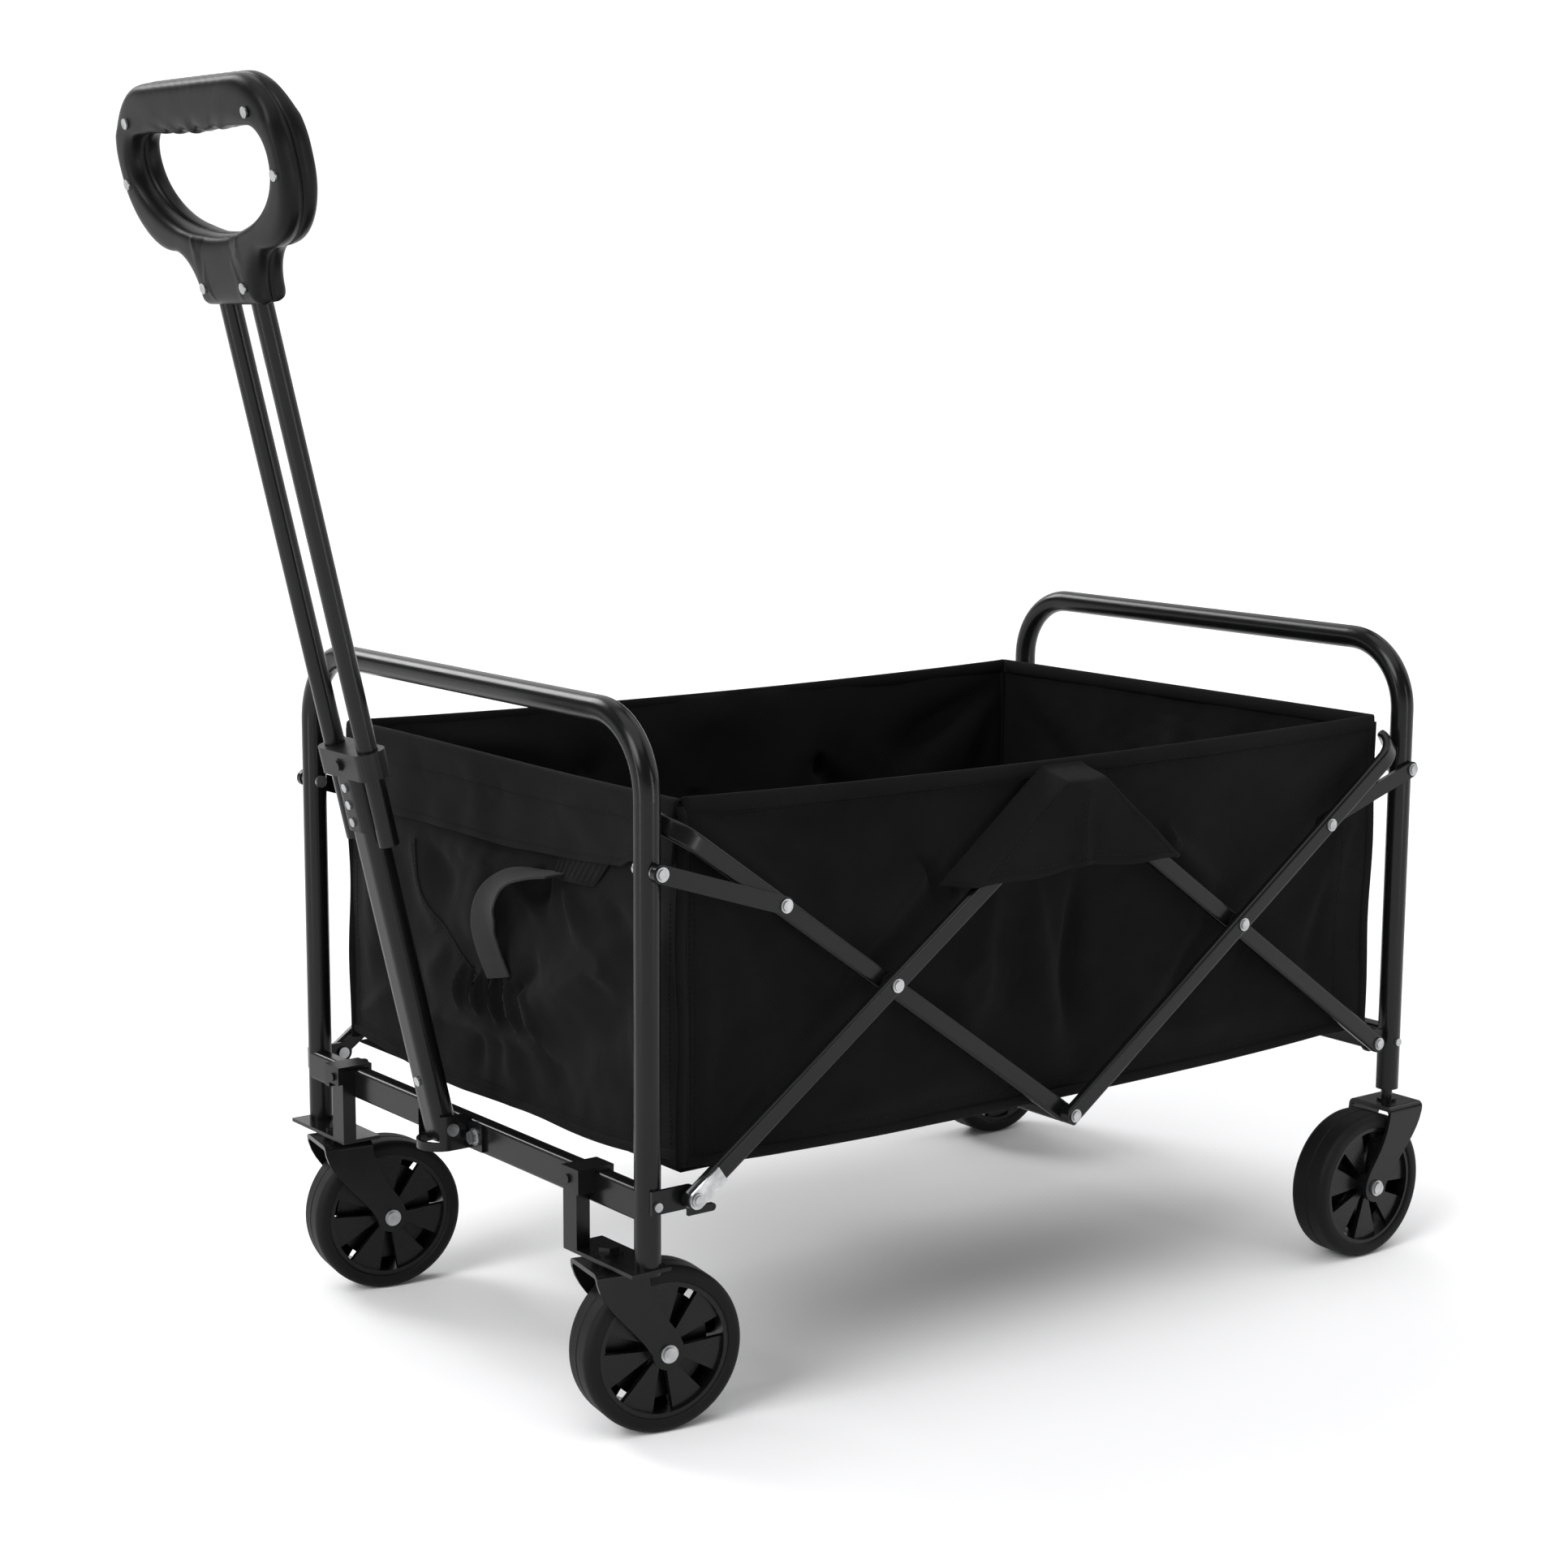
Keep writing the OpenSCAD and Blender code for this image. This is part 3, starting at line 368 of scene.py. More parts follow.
def stitches_object(name, lines, pitch=0.0042, length=0.0028, radius=0.00038):
    """Rows of single raised stitches along lines of (point, outward direction)."""
    points, faces, uv = [], [], []
    ring = 6
    for line in lines:
        P = np.array([p for p, _ in line], float)
        N = np.array([n for _, n in line], float)
        run = np.concatenate([[0], np.cumsum(np.linalg.norm(np.diff(P, axis=0), axis=1))])
        for s in np.arange(pitch, run[-1] - pitch, pitch):
            at = [np.interp(s + d, run, P[:, k]) for d in (-length / 2, 0, length / 2) for k in range(3)]
            a, c, b = (Vector(at[i:i + 3]) for i in (0, 3, 6))
            out = Vector([np.interp(s, run, N[:, k]) for k in range(3)]).normalized()
            side = (b - a).normalized().cross(out)
            base = len(points)
            for p, r in ((a, 0.45), (c, 1.0), (b, 0.45)):
                for i in range(ring):
                    turn = math.tau * i / ring
                    points.append(p + (side * math.cos(turn) + out * math.sin(turn)) * radius * r
                                  + out * radius * (0.9 if r == 1.0 else 0.1))
                    uv.append((turn * radius, s))
            faces += [tuple(base + q for q in f) for f in grid_faces(ring, 3, loop_u=True)]
            faces += [tuple(base + i for i in range(ring))[::-1],
                      tuple(base + 2 * ring + i for i in range(ring))]
    return mesh_object(name, [place(*p) for p in points], faces, uv)


def on_side(sign, seed, x, z, lift=0.0008):
    """A point just outside a side panel's cloth, with its outward direction."""
    U = np.array([(x + FRONT_X) / (2 * FRONT_X)])
    low, high = side_line(U)
    V = np.clip((z - low) / (high - low), 0, 1)
    depth = side_depth(np.array([x]), np.array([z]), U, V, seed)[0]
    return (x, sign * (SIDE_Y - 0.0007 - depth + lift), z), (0, sign, 0)


def side_run(sign, seed, start, end, steps=60, lift=0.0008):
    return [on_side(sign, seed, start[0] + (end[0] - start[0]) * k / steps,
                    start[1] + (end[1] - start[1]) * k / steps, lift) for k in range(steps + 1)]


# The rear corner binding slides in over the side panel when the trolley folds, so the rows of
# stitches stop well short of it
STITCH_BACK, STITCH_FRONT = -0.336, 0.365

for side_name, sign, seed in (("left", 1, 11), ("right", -1, 23)):
    panel = sheet_object(f"side_panel_{side_name}", 220, 96, side_shape(sign, seed),
                         (2 * FRONT_X, HEIGHT), flip=sign > 0)
    finish_piece(panel, "front_section", FABRIC)
    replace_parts(panel, "basket_sides")

    top_line, low_line = [], []
    for k in range(121):
        u = k / 120
        low, high = side_line(np.array([u]))
        x = -FRONT_X + 2 * FRONT_X * u
        top_line.append(((x, sign * (SIDE_Y - 0.0006), high[0] - 0.0045), (0, sign, 0)))
        low_line.append(((x, sign * (SIDE_Y - 0.0010), low[0] + 0.0040), (0, sign, 0)))
    top_hem = band_object(f"side_top_hem_{side_name}", top_line, 0.0065, 0.0024)
    low_hem = band_object(f"side_bottom_piping_{side_name}", low_line, 0.0040, 0.0026)
    rows = [side_run(sign, seed, (STITCH_BACK, z), (STITCH_FRONT, z), 90) for z in (0.4685, 0.2165)]
    for x in (0.3600, 0.3645, STITCH_BACK):
        rows.append(side_run(sign, seed, (x, 0.214), (x, 0.466), 50))
    thread = stitches_object(f"side_stitches_{side_name}", rows)
    ridge = band_object(f"side_corner_seam_{side_name}",
                        side_run(sign, seed, (0.3690, 0.212), (0.3690, 0.470), 60, 0.0002),
                        0.0030, 0.0013)
    for piece, material in ((top_hem, FABRIC), (low_hem, FABRIC), (thread, THREAD), (ridge, FABRIC)):
        finish_piece(piece, "front_section", material)
        squash_with_fold(piece)
    squash_with_fold(panel)


# ---------------------------------------------------------------- end panels
END_X = FRONT_X + 0.0015
END_Y = SIDE_Y - 0.0010
# ((y, z) of the start, (y, z) of the end, width, height) of each fold of the front panel
FRONT_FOLDS = [
    ((0.195, 0.375), (0.030, 0.286), 0.022, 0.0075), ((0.205, 0.330), (0.070, 0.262), 0.020, -0.0050),
    ((-0.155, 0.259), (0.125, 0.267), 0.0060, 0.0036), ((0.070, 0.408), (0.052, 0.372), 0.0110, -0.0075),
    ((0.095, 0.398), (0.135, 0.362), 0.0100, 0.0060), ((0.150, 0.398), (0.205, 0.352), 0.0120, -0.0045),
    ((0.130, 0.362), (0.170, 0.330), 0.0090, 0.0045), ((-0.205, 0.405), (-0.195, 0.250), 0.018, 0.0045),
    ((-0.232, 0.236), (-0.150, 0.275), 0.0090, 0.0050), ((-0.150, 0.300), (-0.205, 0.285), 0.012, -0.0040),
    ((-0.135, 0.405), (-0.095, 0.335), 0.016, 0.0050), ((-0.110, 0.400), (-0.060, 0.372), 0.014, -0.0045),
    ((-0.030, 0.258), (-0.045, 0.215), 0.012, -0.0050), ((0.010, 0.262), (0.030, 0.216), 0.013, 0.0045),
    ((0.055, 0.268), (0.110, 0.224), 0.014, -0.0035), ((-0.060, 0.405), (0.030, 0.400), 0.010, 0.0035),
    ((0.210, 0.240), (0.180, 0.330), 0.014, 0.0045), ((-0.090, 0.262), (-0.120, 0.222), 0.012, 0.0040),
    ((-0.010, 0.395), (-0.045, 0.330), 0.020, 0.0050), ((0.225, 0.400), (0.222, 0.260), 0.010, 0.0040),
    ((0.022, 0.300), (0.060, 0.335), 0.0100, -0.0060), ((-0.075, 0.318), (-0.115, 0.285), 0.012, 0.0045),
]
# Short pleats where the lower panel is gathered into the seam
FRONT_FOLDS += [((-0.052 + 0.0115 * k, 0.312 - 0.002 * (k % 3)),
                 (-0.064 + 0.0155 * k, 0.270 + 0.004 * (k % 2)), 0.0030 + 0.0004 * (k % 3),
                 (0.0068, -0.0062)[k % 2]) for k in range(9)]
REAR_FOLDS = [
    ((-0.20, 0.44), (-0.05, 0.30), 0.022, 0.0060), ((0.20, 0.42), (0.08, 0.28), 0.020, 0.0055),
    ((0.00, 0.46), (0.01, 0.30), 0.024, -0.0055), ((-0.22, 0.24), (-0.06, 0.29), 0.014, 0.0045),
    ((0.22, 0.24), (0.05, 0.26), 0.014, -0.0045), ((-0.12, 0.40), (-0.18, 0.26), 0.016, -0.0040),
    ((0.13, 0.46), (0.18, 0.33), 0.014, -0.0045), ((0.04, 0.28), (-0.04, 0.22), 0.013, 0.0040),
]


def end_depth(Y, Z, folds, seed, banded):
    """How far an end panel stands out from its flat place."""
    U, V = (Y + END_Y) / (2 * END_Y), (Z - FLOOR_Z) / HEIGHT
    relief = 1.6 * sum(fold(Y, Z, *f) for f in folds)
    relief = relief + waves(Y, Z, seed, 9, 0.06, 0.18, 0.0015)
    relief = relief + waves(Y, Z, seed + 1, 9, 0.015, 0.04, 0.0003)
    depth = 0.003 * edge_fade(U, V, 0.8) + relief * edge_fade(U, V, 0.35)
    if banded:
        depth = depth * np.clip((0.428 - Z) / 0.022, 0, 1)
    return np.clip(depth, -0.013, 0.013)


def end_low(Y):
    """Height of an end panel's lower edge: the cloth sags between its corners."""
    t = Y / END_Y
    return FLOOR_Z + 0.0120 * np.abs(t) ** 3 + 0.0020 * np.sin(6.1 * t + 0.8) * (1 - t * t)


def end_shape(sign, folds, seed, banded):
    def shape(U, V):
        Y = -END_Y + 2 * END_Y * U
        low = end_low(Y)
        Z = low + (TOP_Z - 0.003 - low) * V
        inset = 0.0008 * np.sin(np.pi * V) * np.sin(7 * V + 0.4) ** 2
        Y = Y * (1 - inset / END_Y * np.abs(2 * U - 1) ** 6)
        return sign * (END_X + end_depth(Y, Z, folds, seed, banded)), Y, Z
    return shape


def on_end(sign, folds, seed, banded, y, z, lift):
    depth = end_depth(np.array([y]), np.array([z]), folds, seed, banded)[0]
    return (sign * (END_X + depth + lift), y, z), (sign, 0, 0)


def end_run(sign, folds, seed, banded, path, steps=50, lift=0.0008):
    """Points on an end panel along a path of (y, z) corners, smoothed between them."""
    P = np.array(path, float)
    t = np.linspace(0, len(P) - 1, steps + 1)
    k = np.clip(t.astype(int), 0, len(P) - 2)
    f = (t - k)[:, None]
    before, after = P[np.maximum(k - 1, 0)], P[np.minimum(k + 2, len(P) - 1)]
    a, b = P[k], P[k + 1]
    Q = 0.5 * (2 * a + (b - before) * f + (2 * before - 5 * a + 4 * b - after) * f ** 2
               + (3 * a - before - 3 * b + after) * f ** 3)
    return [on_end(sign, folds, seed, banded, y, z, lift) for y, z in Q]


BAND_EDGE = ([-0.242, -0.148, 0.020, 0.120, 0.176, 0.188, 0.242],
             [0.4215, 0.4190, 0.4180, 0.4225, 0.4270, 0.4330, 0.4380])
# The band's length inside the basket, the radius of its turn over the edge, its length outside
BAND_IN, BAND_R, BAND_OUT = 0.012, 0.0030, 0.066


def band_front(Y, drop):
    """How far the fold-over band stands out, drop metres below the panel's top edge."""
    swell = waves(Y, drop, 41, 8, 0.05, 0.16, 0.0010) * np.clip(drop / 0.02, 0, 1)
    lift = 0.0022 * (drop / BAND_OUT) ** 2 + swell
    lift = lift + fold(Y, drop, (-0.13, 0.012), (-0.04, 0.050), 0.020, -0.0030)
    lift = lift + fold(Y, drop, (0.09, 0.020), (0.17, 0.052), 0.016, 0.0024)
    return END_X + BAND_R + 0.0006 + np.clip(lift, -0.0012, 0.006)


def band_shape(U, V):
    Y = -END_Y + 2 * END_Y * U
    top = TOP_Z + 0.0012 * np.sin(5 * U + 1)
    reach = top - BAND_R - np.interp(Y, *BAND_EDGE)
    run = V * (BAND_IN + np.pi * BAND_R + BAND_OUT)
    turn = np.clip((run - BAND_IN) / BAND_R, 0, np.pi)
    inside = np.clip(BAND_IN - run, 0, None)
    drop = np.clip(run - BAND_IN - np.pi * BAND_R, 0, None)
    fall = drop / BAND_OUT * reach
    arch = END_X - BAND_R * np.cos(turn)
    share = np.clip(drop / 0.008, 0, 1)
    X = arch * (1 - share) + band_front(Y, drop) * share
    return X, Y, top - BAND_R + BAND_R * np.sin(turn) - inside - fall


def band_row(drop):
    line = []
    for y in np.linspace(-END_Y + 0.004, END_Y - 0.004, 90):
        Y = np.array([y])
        reach = TOP_Z - BAND_R - np.interp(y, *BAND_EDGE)
        line.append(((band_front(Y, np.array([drop]))[0] + 0.0009, y,
                      TOP_Z - BAND_R - drop / BAND_OUT * reach), (1, 0, 0)))
    return line


FRONT = (1, FRONT_FOLDS, 51, True)
REAR = (-1, REAR_FOLDS, 61, False)

front_panel = sheet_object("front_panel", 260, 170, end_shape(*FRONT), (2 * END_Y, HEIGHT))
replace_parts(front_panel, "basket_front_panel")
front_band = sheet_object("front_fold_over_band", 200, 60, band_shape,
                          (2 * END_Y, BAND_IN + math.pi * BAND_R + BAND_OUT), thick=0.0018)
seam_path = [(-0.128, 0.402), (-0.121, 0.384), (-0.105, 0.353), (-0.071, 0.329), (-0.044, 0.308),
             (-0.030, 0.298)]
front_seam = band_object("front_curved_piping", end_run(*FRONT, seam_path, 70, 0.0008), 0.0016, 0.0014)
low_path = [(y, float(end_low(np.array([y]))[0]) + 0.004) for y in np.linspace(-END_Y, END_Y, 40)]
front_low = band_object("front_bottom_piping", end_run(*FRONT, low_path, 120, 0.0002), 0.0040, 0.0024)
front_thread = stitches_object("front_stitches", [
    band_row(0.022), band_row(0.060),
    end_run(*FRONT, [(p[0] - 0.0035, p[1] - 0.002) for p in seam_path], 60),
    end_run(*FRONT, [(y, z + 0.010) for y, z in low_path], 90),
    end_run(*FRONT, [(0.232, 0.222), (0.232, 0.300), (0.232, 0.412)], 40),
    end_run(*FRONT, [(-0.232, 0.222), (-0.232, 0.300), (-0.232, 0.412)], 40)])
rear_panel = sheet_object("rear_panel", 200, 120, end_shape(*REAR), (2 * END_Y, HEIGHT), flip=True)
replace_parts(rear_panel, "basket_rear_panel")
rear_low = band_object("rear_bottom_piping", end_run(*REAR, low_path, 120, 0.0002), 0.0040, 0.0024)
rear_hem = band_object("rear_top_hem", [((-END_X, y, TOP_Z - 0.0050), (-1, 0, 0))
                                        for y in np.linspace(-END_Y, END_Y, 60)], 0.0068, 0.0026)
rear_thread = stitches_object("rear_stitches", [
    end_run(*REAR, [(-0.236, 0.4680), (0.0, 0.4680), (0.236, 0.4680)], 60),
    end_run(*REAR, [(y, z + 0.010) for y, z in low_path], 90)])


def corner_binding(name, sign_x, sign_y):
    """Cloth tape folded round the upright edge where two panels meet."""
    line = []
    for k in range(61):
        v = k / 60
        z = FLOOR_Z + 0.007 + (TOP_Z - 0.012 - FLOOR_Z) * v
        wave = 0.0016 * math.sin(11 * v + sign_y) * math.sin(math.pi * v)
        line.append(((sign_x * (FRONT_X + 0.0006 + wave), sign_y * (SIDE_Y - 0.0006), z), (0, sign_y, 0)))
    return band_object(name, line, 0.0048, 0.0024)


def ribbed_tab(U, V):
    """The gathered end of the carry loop, sewn under the band's edge."""
    Y = (0.092 - 0.012 * (1 - V)) * (1 - U) + (0.160 - 0.024 * (1 - V)) * U
    Z = 0.4035 + 0.0010 * U + (0.0210 + 0.0030 * U) * V
    ribs = 0.0008 * np.abs(np.sin(np.pi * (9 * U + 0.6 * V))) * np.clip(4 * V, 0.35, 1)
    return END_X + 0.0034 + ribs + 0.0035 * np.sin(np.pi * U) * (1 - V), Y, Z


def carry_loop(U, V):
    """Webbing that leaves the tab on edge, turns flat and hangs down to the gathered pleats."""
    t = np.array([0, 0.14, 0.32, 0.50, 0.68, 0.85, 1.0])

    def middle(v):
        return np.stack([END_X + np.interp(v, t, [0.0135, 0.0165, 0.020, 0.022, 0.020, 0.013, 0.006]),
                         np.interp(v, t, [0.104, 0.078, 0.044, 0.016, 0.000, -0.001, 0.005]),
                         np.interp(v, t, [0.409, 0.406, 0.398, 0.380, 0.355, 0.330, 0.307])])

    run = middle(np.minimum(V + 0.04, 1)) - middle(np.maximum(V - 0.04, 0))
    run = run / np.linalg.norm(run, axis=0)
    turn = np.interp(V, t, [0, 26, 58, 78, 88, 90, 90]) * math.pi / 180
    half = 0.019 * np.interp(V, t, [0.62, 0.80, 0.98, 1, 1, 1, 1])
    w = (2 * U - 1) * half
    crown = 0.0018 * (1 - (2 * U - 1) ** 2)
    across = np.stack([np.cos(turn), np.sin(turn), 0 * turn])
    across = across - (across * run).sum(axis=0) * run
    X, Y, Z = middle(V) + w * across / np.linalg.norm(across, axis=0)
    return X + crown, Y, Z


def smooth_rows(shape, tail):
    """Rounds a shape's corners by averaging it over a short run of V."""
    def softer(U, V):
        parts = [shape(U, np.clip(V + d * tail, 0, 1)) for d in (-1, -0.6, -0.25, 0, 0.25, 0.6, 1)]
        return tuple(sum(p[k] for p in parts) / len(parts) for k in range(3))
    return softer


tab = sheet_object("carry_loop_tab", 90, 18, ribbed_tab, (0.07, 0.027), thick=0.0012)
loop = sheet_object("carry_loop_webbing", 22, 110, smooth_rows(carry_loop, 0.07), (0.038, 0.165),
                    thick=0.0018)
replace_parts(loop, "front_strap")
loop_thread = stitches_object("carry_loop_stitches", [
    [((END_X + 0.0085, y, z), (1, 0, 0)) for y in np.linspace(-0.012, 0.022, 12)]
    for z in (0.3115, 0.3145)])

corners = {(sx, sy): corner_binding(f"corner_binding_{end}_{side}", sx, sy)
           for sx, end in ((1, "front"), (-1, "rear")) for sy, side in ((1, "left"), (-1, "right"))}
# The front end's cloth gets the lighter copy of the fabric, which is painted light on the front panel, its
# band, piping, tab and front corner bindings
for piece in (front_panel, front_band, front_seam, front_low, tab, corners[1, 1], corners[1, -1]):
    finish_piece(piece, "front_section", FRONT_FABRIC_PAINTED_LIGHTER)
finish_piece(front_thread, "front_section", THREAD)
finish_piece(loop, "front_section", WEBBING)
finish_piece(loop_thread, "front_section", THREAD)
for piece in (rear_panel, rear_low, rear_hem, corners[-1, 1], corners[-1, -1]):
    finish_piece(piece, "rear_section", FABRIC)
finish_piece(rear_thread, "rear_section", THREAD)

# ---------------------------------------------------------------- flaps over the scissor's peak
FLAP_TOP, FLAP_OUT = 0.4785, 0.0305


def flap_edge(t):
    """x of the flap's two slanted edges; t runs from 0 at the bottom to 1 at the top."""
    return 0.128 - 0.106 * t, -0.120 + 0.098 * t


def flap_place(U, t, sign):
    high_x, low_x = flap_edge(t)
    X = low_x + (high_x - low_x) * U
    bottom = 0.3935 + 0.0065 * np.sin(np.pi * U) + 0.0015 * np.sin(5 * np.pi * U)
    Z = bottom + (FLAP_TOP - bottom) * t
    from_side = np.minimum(high_x - X, X - low_x) * 0.74
    near = np.clip(np.minimum(from_side, FLAP_TOP - Z) / 0.0105, 0, 1)
    rise = near * near * (3 - 2 * near)
    peak = 0.0030 * np.exp(-((X / 0.028) ** 2 + ((Z - 0.4618) / 0.016) ** 2))
    soft = waves(X, Z, 71, 8, 0.05, 0.13, 0.0008) + 0.0035 * np.exp(-((X - 0.004) / 0.008) ** 2) * (1 - t)
    sag = 0.0040 * np.sin(2 * np.pi * U) ** 2 * (1 - t) ** 2
    Y = SIDE_Y + 0.0012 + rise * (FLAP_OUT + peak + np.clip(soft, -0.0006, 0.01) + sag)
    return X, sign * Y, Z


def flap_run(sign, path, steps=40, lift=0.0008):
    line = []
    for k in range(steps + 1):
        u, t = (path[0][i] + (path[1][i] - path[0][i]) * k / steps for i in (0, 1))
        X, Y, Z = flap_place(np.array([u]), np.array([t]), sign)
        line.append(((X[0], Y[0] + sign * lift, Z[0]), (0, sign, 0)))
    return line


for side_name, sign in (("left", 1), ("right", -1)):
    flap = sheet_object(f"peak_flap_{side_name}", 150, 70, lambda U, V: flap_place(U, V, sign),
                        (0.248, 0.0915), thick=0.0012, flip=sign > 0)
    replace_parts(flap, *(["basket_flaps"] if sign > 0 else []))
    flap_thread = stitches_object(f"peak_flap_stitches_{side_name}", [
        flap_run(sign, ((0.49, 0.0), (0.49, 0.82))), flap_run(sign, ((0.510, 0.0), (0.510, 0.82))),
        flap_run(sign, ((0.06, 0.09), (0.94, 0.09)), 70),
        flap_run(sign, ((0.075, 0.02), (0.16, 0.84))), flap_run(sign, ((0.925, 0.02), (0.84, 0.84)))])
    flap_hem = band_object(f"peak_flap_hem_{side_name}",
                           flap_run(sign, ((0.02, 0.018), (0.98, 0.018)), 80, 0), 0.0022, 0.0012)
    for piece, material in ((flap, FABRIC), (flap_thread, THREAD), (flap_hem, FABRIC)):
        finish_piece(piece, "front_section", material)
        squash_with_fold(piece)

# ---------------------------------------------------------------- grip
GRIP_START, GRIP_HIGH, GRIP_HALF, GRIP_WIDE = 0.660, 0.162, 0.0150, 0.252


def polygon_radius(points, centre, turns):
    """Distance from a centre to a closed outline, in each of the given directions."""
    P = np.array(points, float)
    P = np.concatenate([P, P[:1]])
    steps = np.linspace(0, 1, 12, endpoint=False)
    Q = np.concatenate([a + (b - a) * steps[:, None] for a, b in zip(P[:-1], P[1:])])
    x, y = Q[:, 0] - centre[0], Q[:, 1] - centre[1]
    angle = np.arctan2(y, x) % math.tau
    order = np.argsort(angle)
    return np.interp(turns, angle[order], np.hypot(x, y)[order], period=math.tau)


def oval(centre, rx, ry, start, end, count=24):
    turn = np.radians(np.linspace(start, end, count))
    return [(centre[0] + rx * math.cos(a), centre[1] + ry * math.sin(a)) for a in turn]


def both_halves(right_half):
    return right_half + [(-x, y) for x, y in right_half[::-1]]


def grip_outlines():
    bend, side = GRIP_WIDE / 2 - 0.054, GRIP_HIGH - 0.054
    outer = both_halves(oval((bend, 0), bend - 0.042, 0.040, 180, 90)
                        + oval((bend, side - 0.012), 0.054, side - 0.052, -90, 0)
                        + oval((bend, side), 0.054, 0.054, 0, 90))
    inner = both_halves(oval((0, 0.104), GRIP_WIDE / 2 - 0.020, 0.053, -90, 0)
                        + oval((GRIP_WIDE / 2 - 0.042, 0.104), 0.022, 0.022, 0, 90))
    return outer, inner


def grip_half(name, front):
    centre = (0.0, 0.095)
    turns = np.linspace(0, math.tau, 300, endpoint=False)
    outer, inner = (polygon_radius(o, centre, turns) for o in grip_outlines())
    cross = np.cos(turns) * inner
    under_bar = np.clip((np.sin(turns) - 0.16) / 0.1, 0, 1)
    under_bar = under_bar * np.clip((0.060 - np.abs(cross)) / 0.014, 0, 1)
    inner = inner - under_bar * 0.0030 * (0.5 + 0.5 * np.cos(math.tau * cross / 0.0235 + 0.6))
    ring = 26
    power = 0.55
    points, uv = [], []
    for k, a in enumerate(turns):
        wide = outer[k] - inner[k]
        for i in range(ring):
            p = math.pi * i / (ring - 1)
            flat = -math.copysign(abs(math.cos(p)) ** power, math.cos(p))
            share = 0.5 + 0.5 * flat
            edge = min(share, 1 - share) * wide
            t = 0.0004 + (GRIP_HALF - 0.0004) * math.sin(p) ** power
            r = inner[k] + wide * share
            if i in (0, ring - 1):
                r += 0.0005 if i == 0 else -0.0005
            y, h = centre[0] + r * math.cos(a), centre[1] + r * math.sin(a)
            if h > 0.128 and share > 0.56:
                t -= 0.0009 * min(1.0, (share - 0.56) / 0.03) * min(1.0, (h - 0.128) / 0.006)
            if h < 0.066 and edge > 0.003:
                rib = abs(abs(y) - (0.020 + 0.30 * h))
                t += 0.0008 * math.exp(-(rib / 0.0016) ** 2) * min(1.0, h / 0.010)
            points.append((y, h, t))
            uv.append((a * 0.1, share * wide))
    axis = Vector((math.sin(LEAN), 0, math.cos(LEAN)))
    out = Vector((math.cos(LEAN), 0, -math.sin(LEAN)))
    sign = 1 if front else -1
    world = [place(*(PIVOT + axis * (GRIP_START + h) + Vector((0, y, 0)) + out * (t * sign)))
             for y, h, t in points]
    n = len(turns)
    faces = [(k * ring + i, k * ring + (i + 1) % ring, (k + 1) % n * ring + (i + 1) % ring,
              (k + 1) % n * ring + i) for k in range(n) for i in range(ring)]
    obj = mesh_object(name, world, faces if front else [f[::-1] for f in faces], uv)
    turn_faces_out(obj)
    return finish_piece(obj, "grip_slide", GRIP)


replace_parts(grip_half("grip_front_half", True), "grip_front_shell")
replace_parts(grip_half("grip_rear_half", False), "grip_rear_shell")

# ---------------------------------------------------------------- floor, camera and light
def floor_shape(U, V):
    x = -FRONT_X + 0.007 + (2 * FRONT_X - 0.008) * U
    half = SIDE_Y - 0.0035
    y = -half + 2 * half * V
    sag = 0.0022 * edge_fade(U, V, 0.7) + waves(x, y, 5, 8, 0.08, 0.25, 0.0005) * edge_fade(U, V, 0.5)
    return x, y, FLOOR_Z + 0.0028 - sag


basket_floor = sheet_object("basket_floor_sheet", 120, 80, floor_shape,
                            (2 * FRONT_X, 2 * SIDE_Y), thick=0.0020)
finish_piece(basket_floor, "front_section", FABRIC)
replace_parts(basket_floor, "basket_floor")
squash_with_fold(basket_floor)

ground_mesh = bpy.data.meshes.new("ground")
ground_mesh.from_pydata([(-30, -30, 0), (30, -30, 0), (30, 30, 0), (-30, 30, 0)], [], [(0, 1, 2, 3)])
ground = bpy.data.objects.new("ground", ground_mesh)
bpy.context.scene.collection.objects.link(ground)
pale, pale_tree, pale_shader = new_material("pale_floor")
pale_tree.links.new(ramp(pale_tree, noise(pale_tree, 0.8), (0.86, 0.86, 0.87), (0.90, 0.90, 0.905)),
                    pale_shader.inputs["Base Color"])
pale_shader.inputs["Roughness"].default_value = 0.75
pale_shader.inputs["Specular IOR Level"].default_value = 0.1
ground_mesh.materials.append(pale)

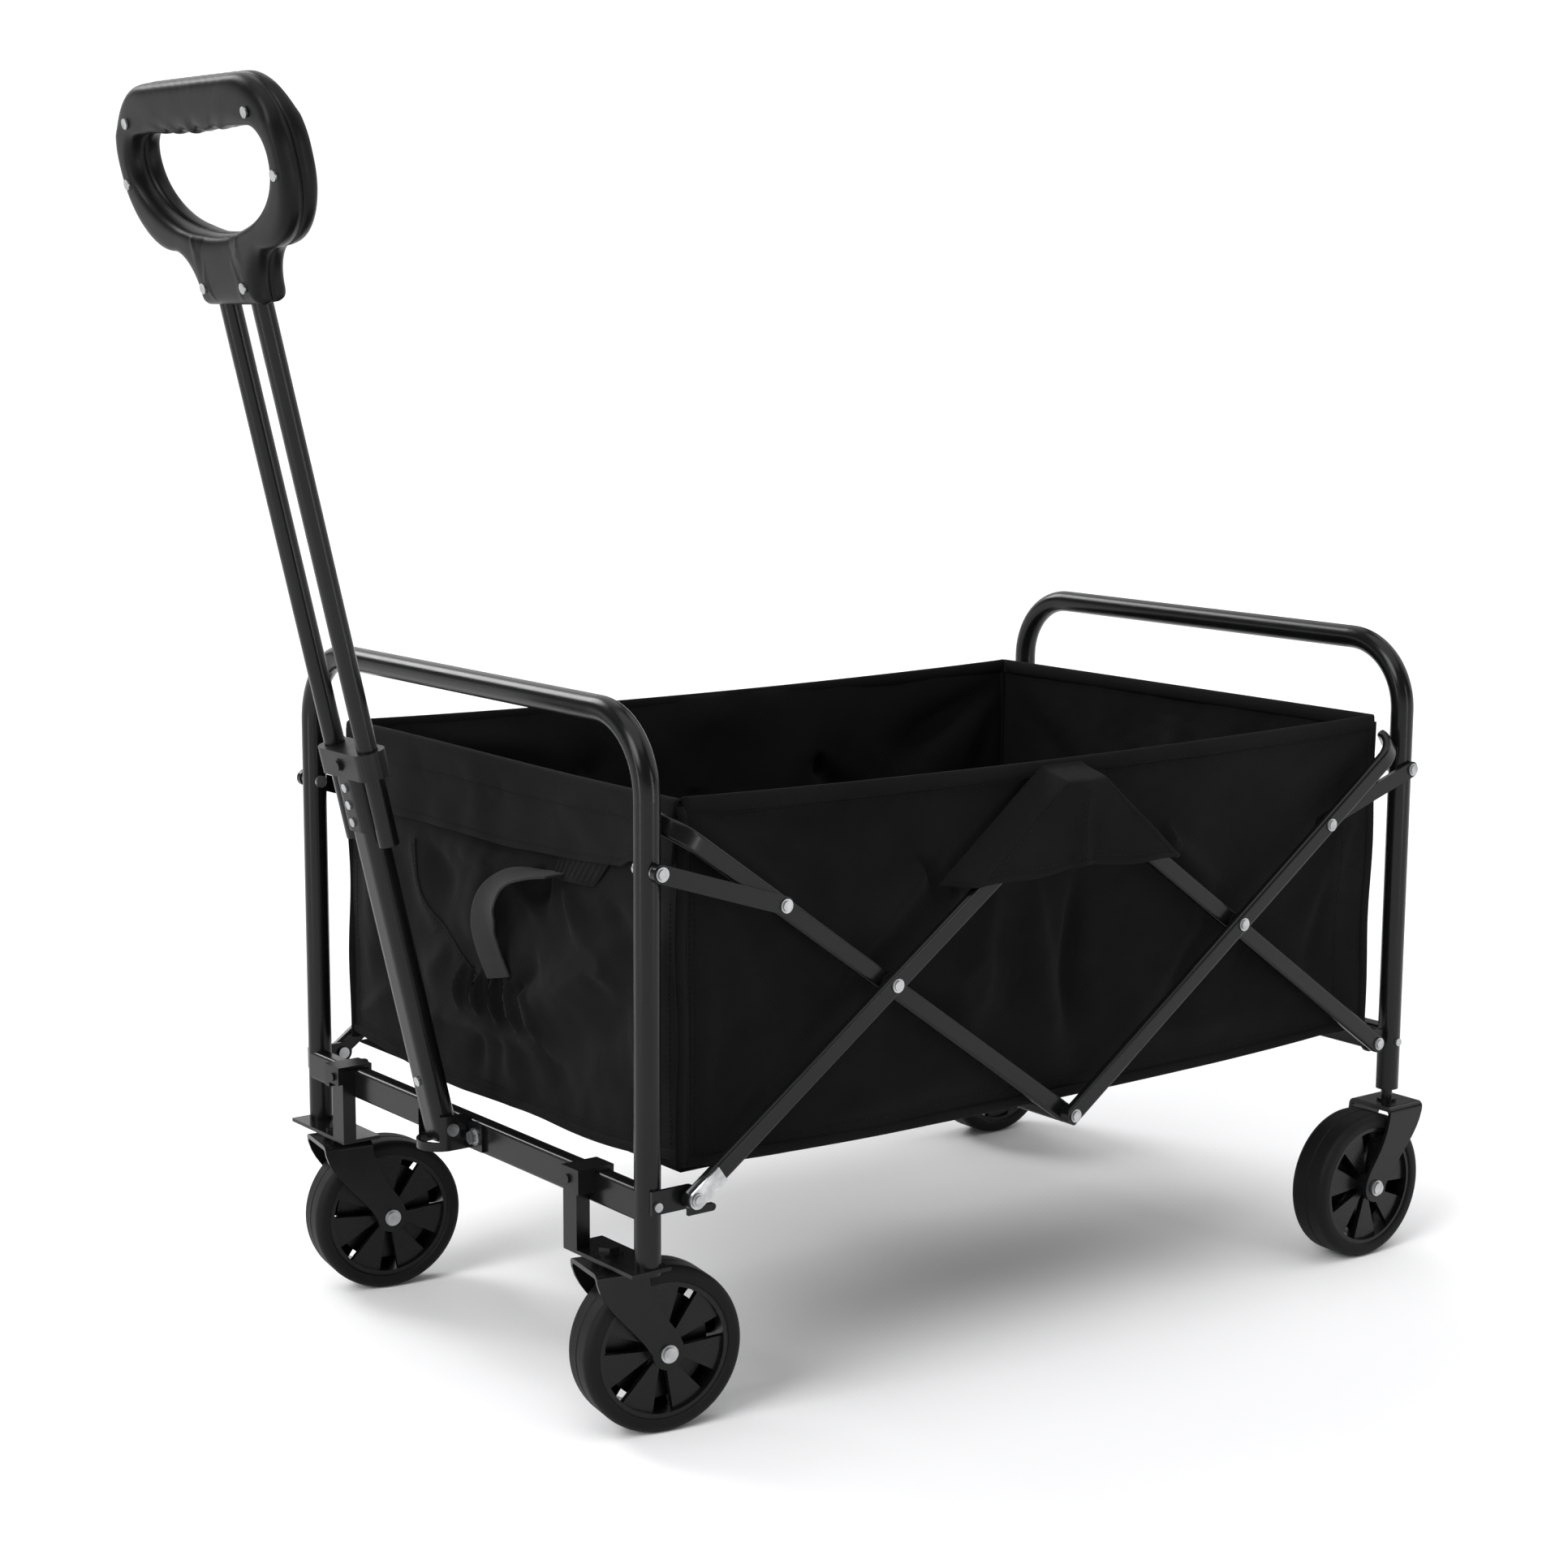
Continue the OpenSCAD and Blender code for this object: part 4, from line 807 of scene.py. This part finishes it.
# The studio is dim overhead and white round the horizon, which is the background
world = bpy.data.worlds.new("studio")
bpy.context.scene.world = world
world.use_nodes = True
sky = world.node_tree
height = sky.nodes.new("ShaderNodeSeparateXYZ")
sky.links.new(sky.nodes.new("ShaderNodeTexCoord").outputs["Generated"], height.inputs["Vector"])
sky.links.new(ramp(sky, height.outputs["Z"], (1.05, 1.05, 1.05), (0.17, 0.17, 0.174), at=(0.105, 0.15)),
              sky.nodes["Background"].inputs["Color"])
sky.nodes["Background"].inputs["Strength"].default_value = 1.0


def sun(name, at, strength, spread_angle):
    data = bpy.data.lights.new(name, "SUN")
    data.energy = strength
    data.angle = math.radians(spread_angle)
    lamp = bpy.data.objects.new(name, data)
    lamp.rotation_euler = (-Vector(at)).to_track_quat("-Z", "Y").to_euler()
    bpy.context.scene.collection.objects.link(lamp)


def area_light(name, at, target, size, power):
    data = bpy.data.lights.new(name, "AREA")
    data.shape = "RECTANGLE"
    data.size, data.size_y = size
    data.energy = power
    lamp = bpy.data.objects.new(name, data)
    lamp.location = at
    lamp.rotation_euler = (Vector(target) - Vector(at)).to_track_quat("-Z", "Y").to_euler()
    bpy.context.scene.collection.objects.link(lamp)


sun("overhead", (0.3, 0.5, 2.4), 1.35, 60)
sun("behind_left", (-2.0, 0.3, 1.5), 0.85, 60)
sun("behind_right", (-0.4, -2.0, 1.5), 0.85, 60)
sun("rake_side", (1.7, 0.42, 1.2), 1.8, 30)
sun("rake_front", (0.42, -1.6, 1.2), 1.4, 25)
area_light("strip_left", (2.7, 0.1, 0.8), (0.2, 0, 0.5), (0.12, 1.7), 11)
area_light("strip_right", (-0.7, 2.9, 0.8), (0, 0, 0.5), (0.12, 1.7), 11)

camera_data = bpy.data.cameras.new("camera")
camera_data.lens = 67.19
camera_data.sensor_width = 36
camera = bpy.data.objects.new("camera", camera_data)
bpy.context.scene.collection.objects.link(camera)
yaw, pitch, roll = (math.radians(a) for a in (-127.577, -9.398, 0.348))
forward = Vector((math.cos(yaw) * math.cos(pitch), math.sin(yaw) * math.cos(pitch), math.sin(pitch)))
right = Vector((math.sin(yaw), -math.cos(yaw), 0))
up = right.cross(forward)
turned = right * math.cos(roll) + up * math.sin(roll)
upright = turned.cross(forward)
camera.matrix_world = Matrix.Translation(place(1.58765, 1.94363, 0.84360)) @ Matrix(
    (turned, upright, -forward)).transposed().to_4x4()
bpy.context.scene.camera = camera
bpy.context.scene.view_settings.view_transform = "Standard"
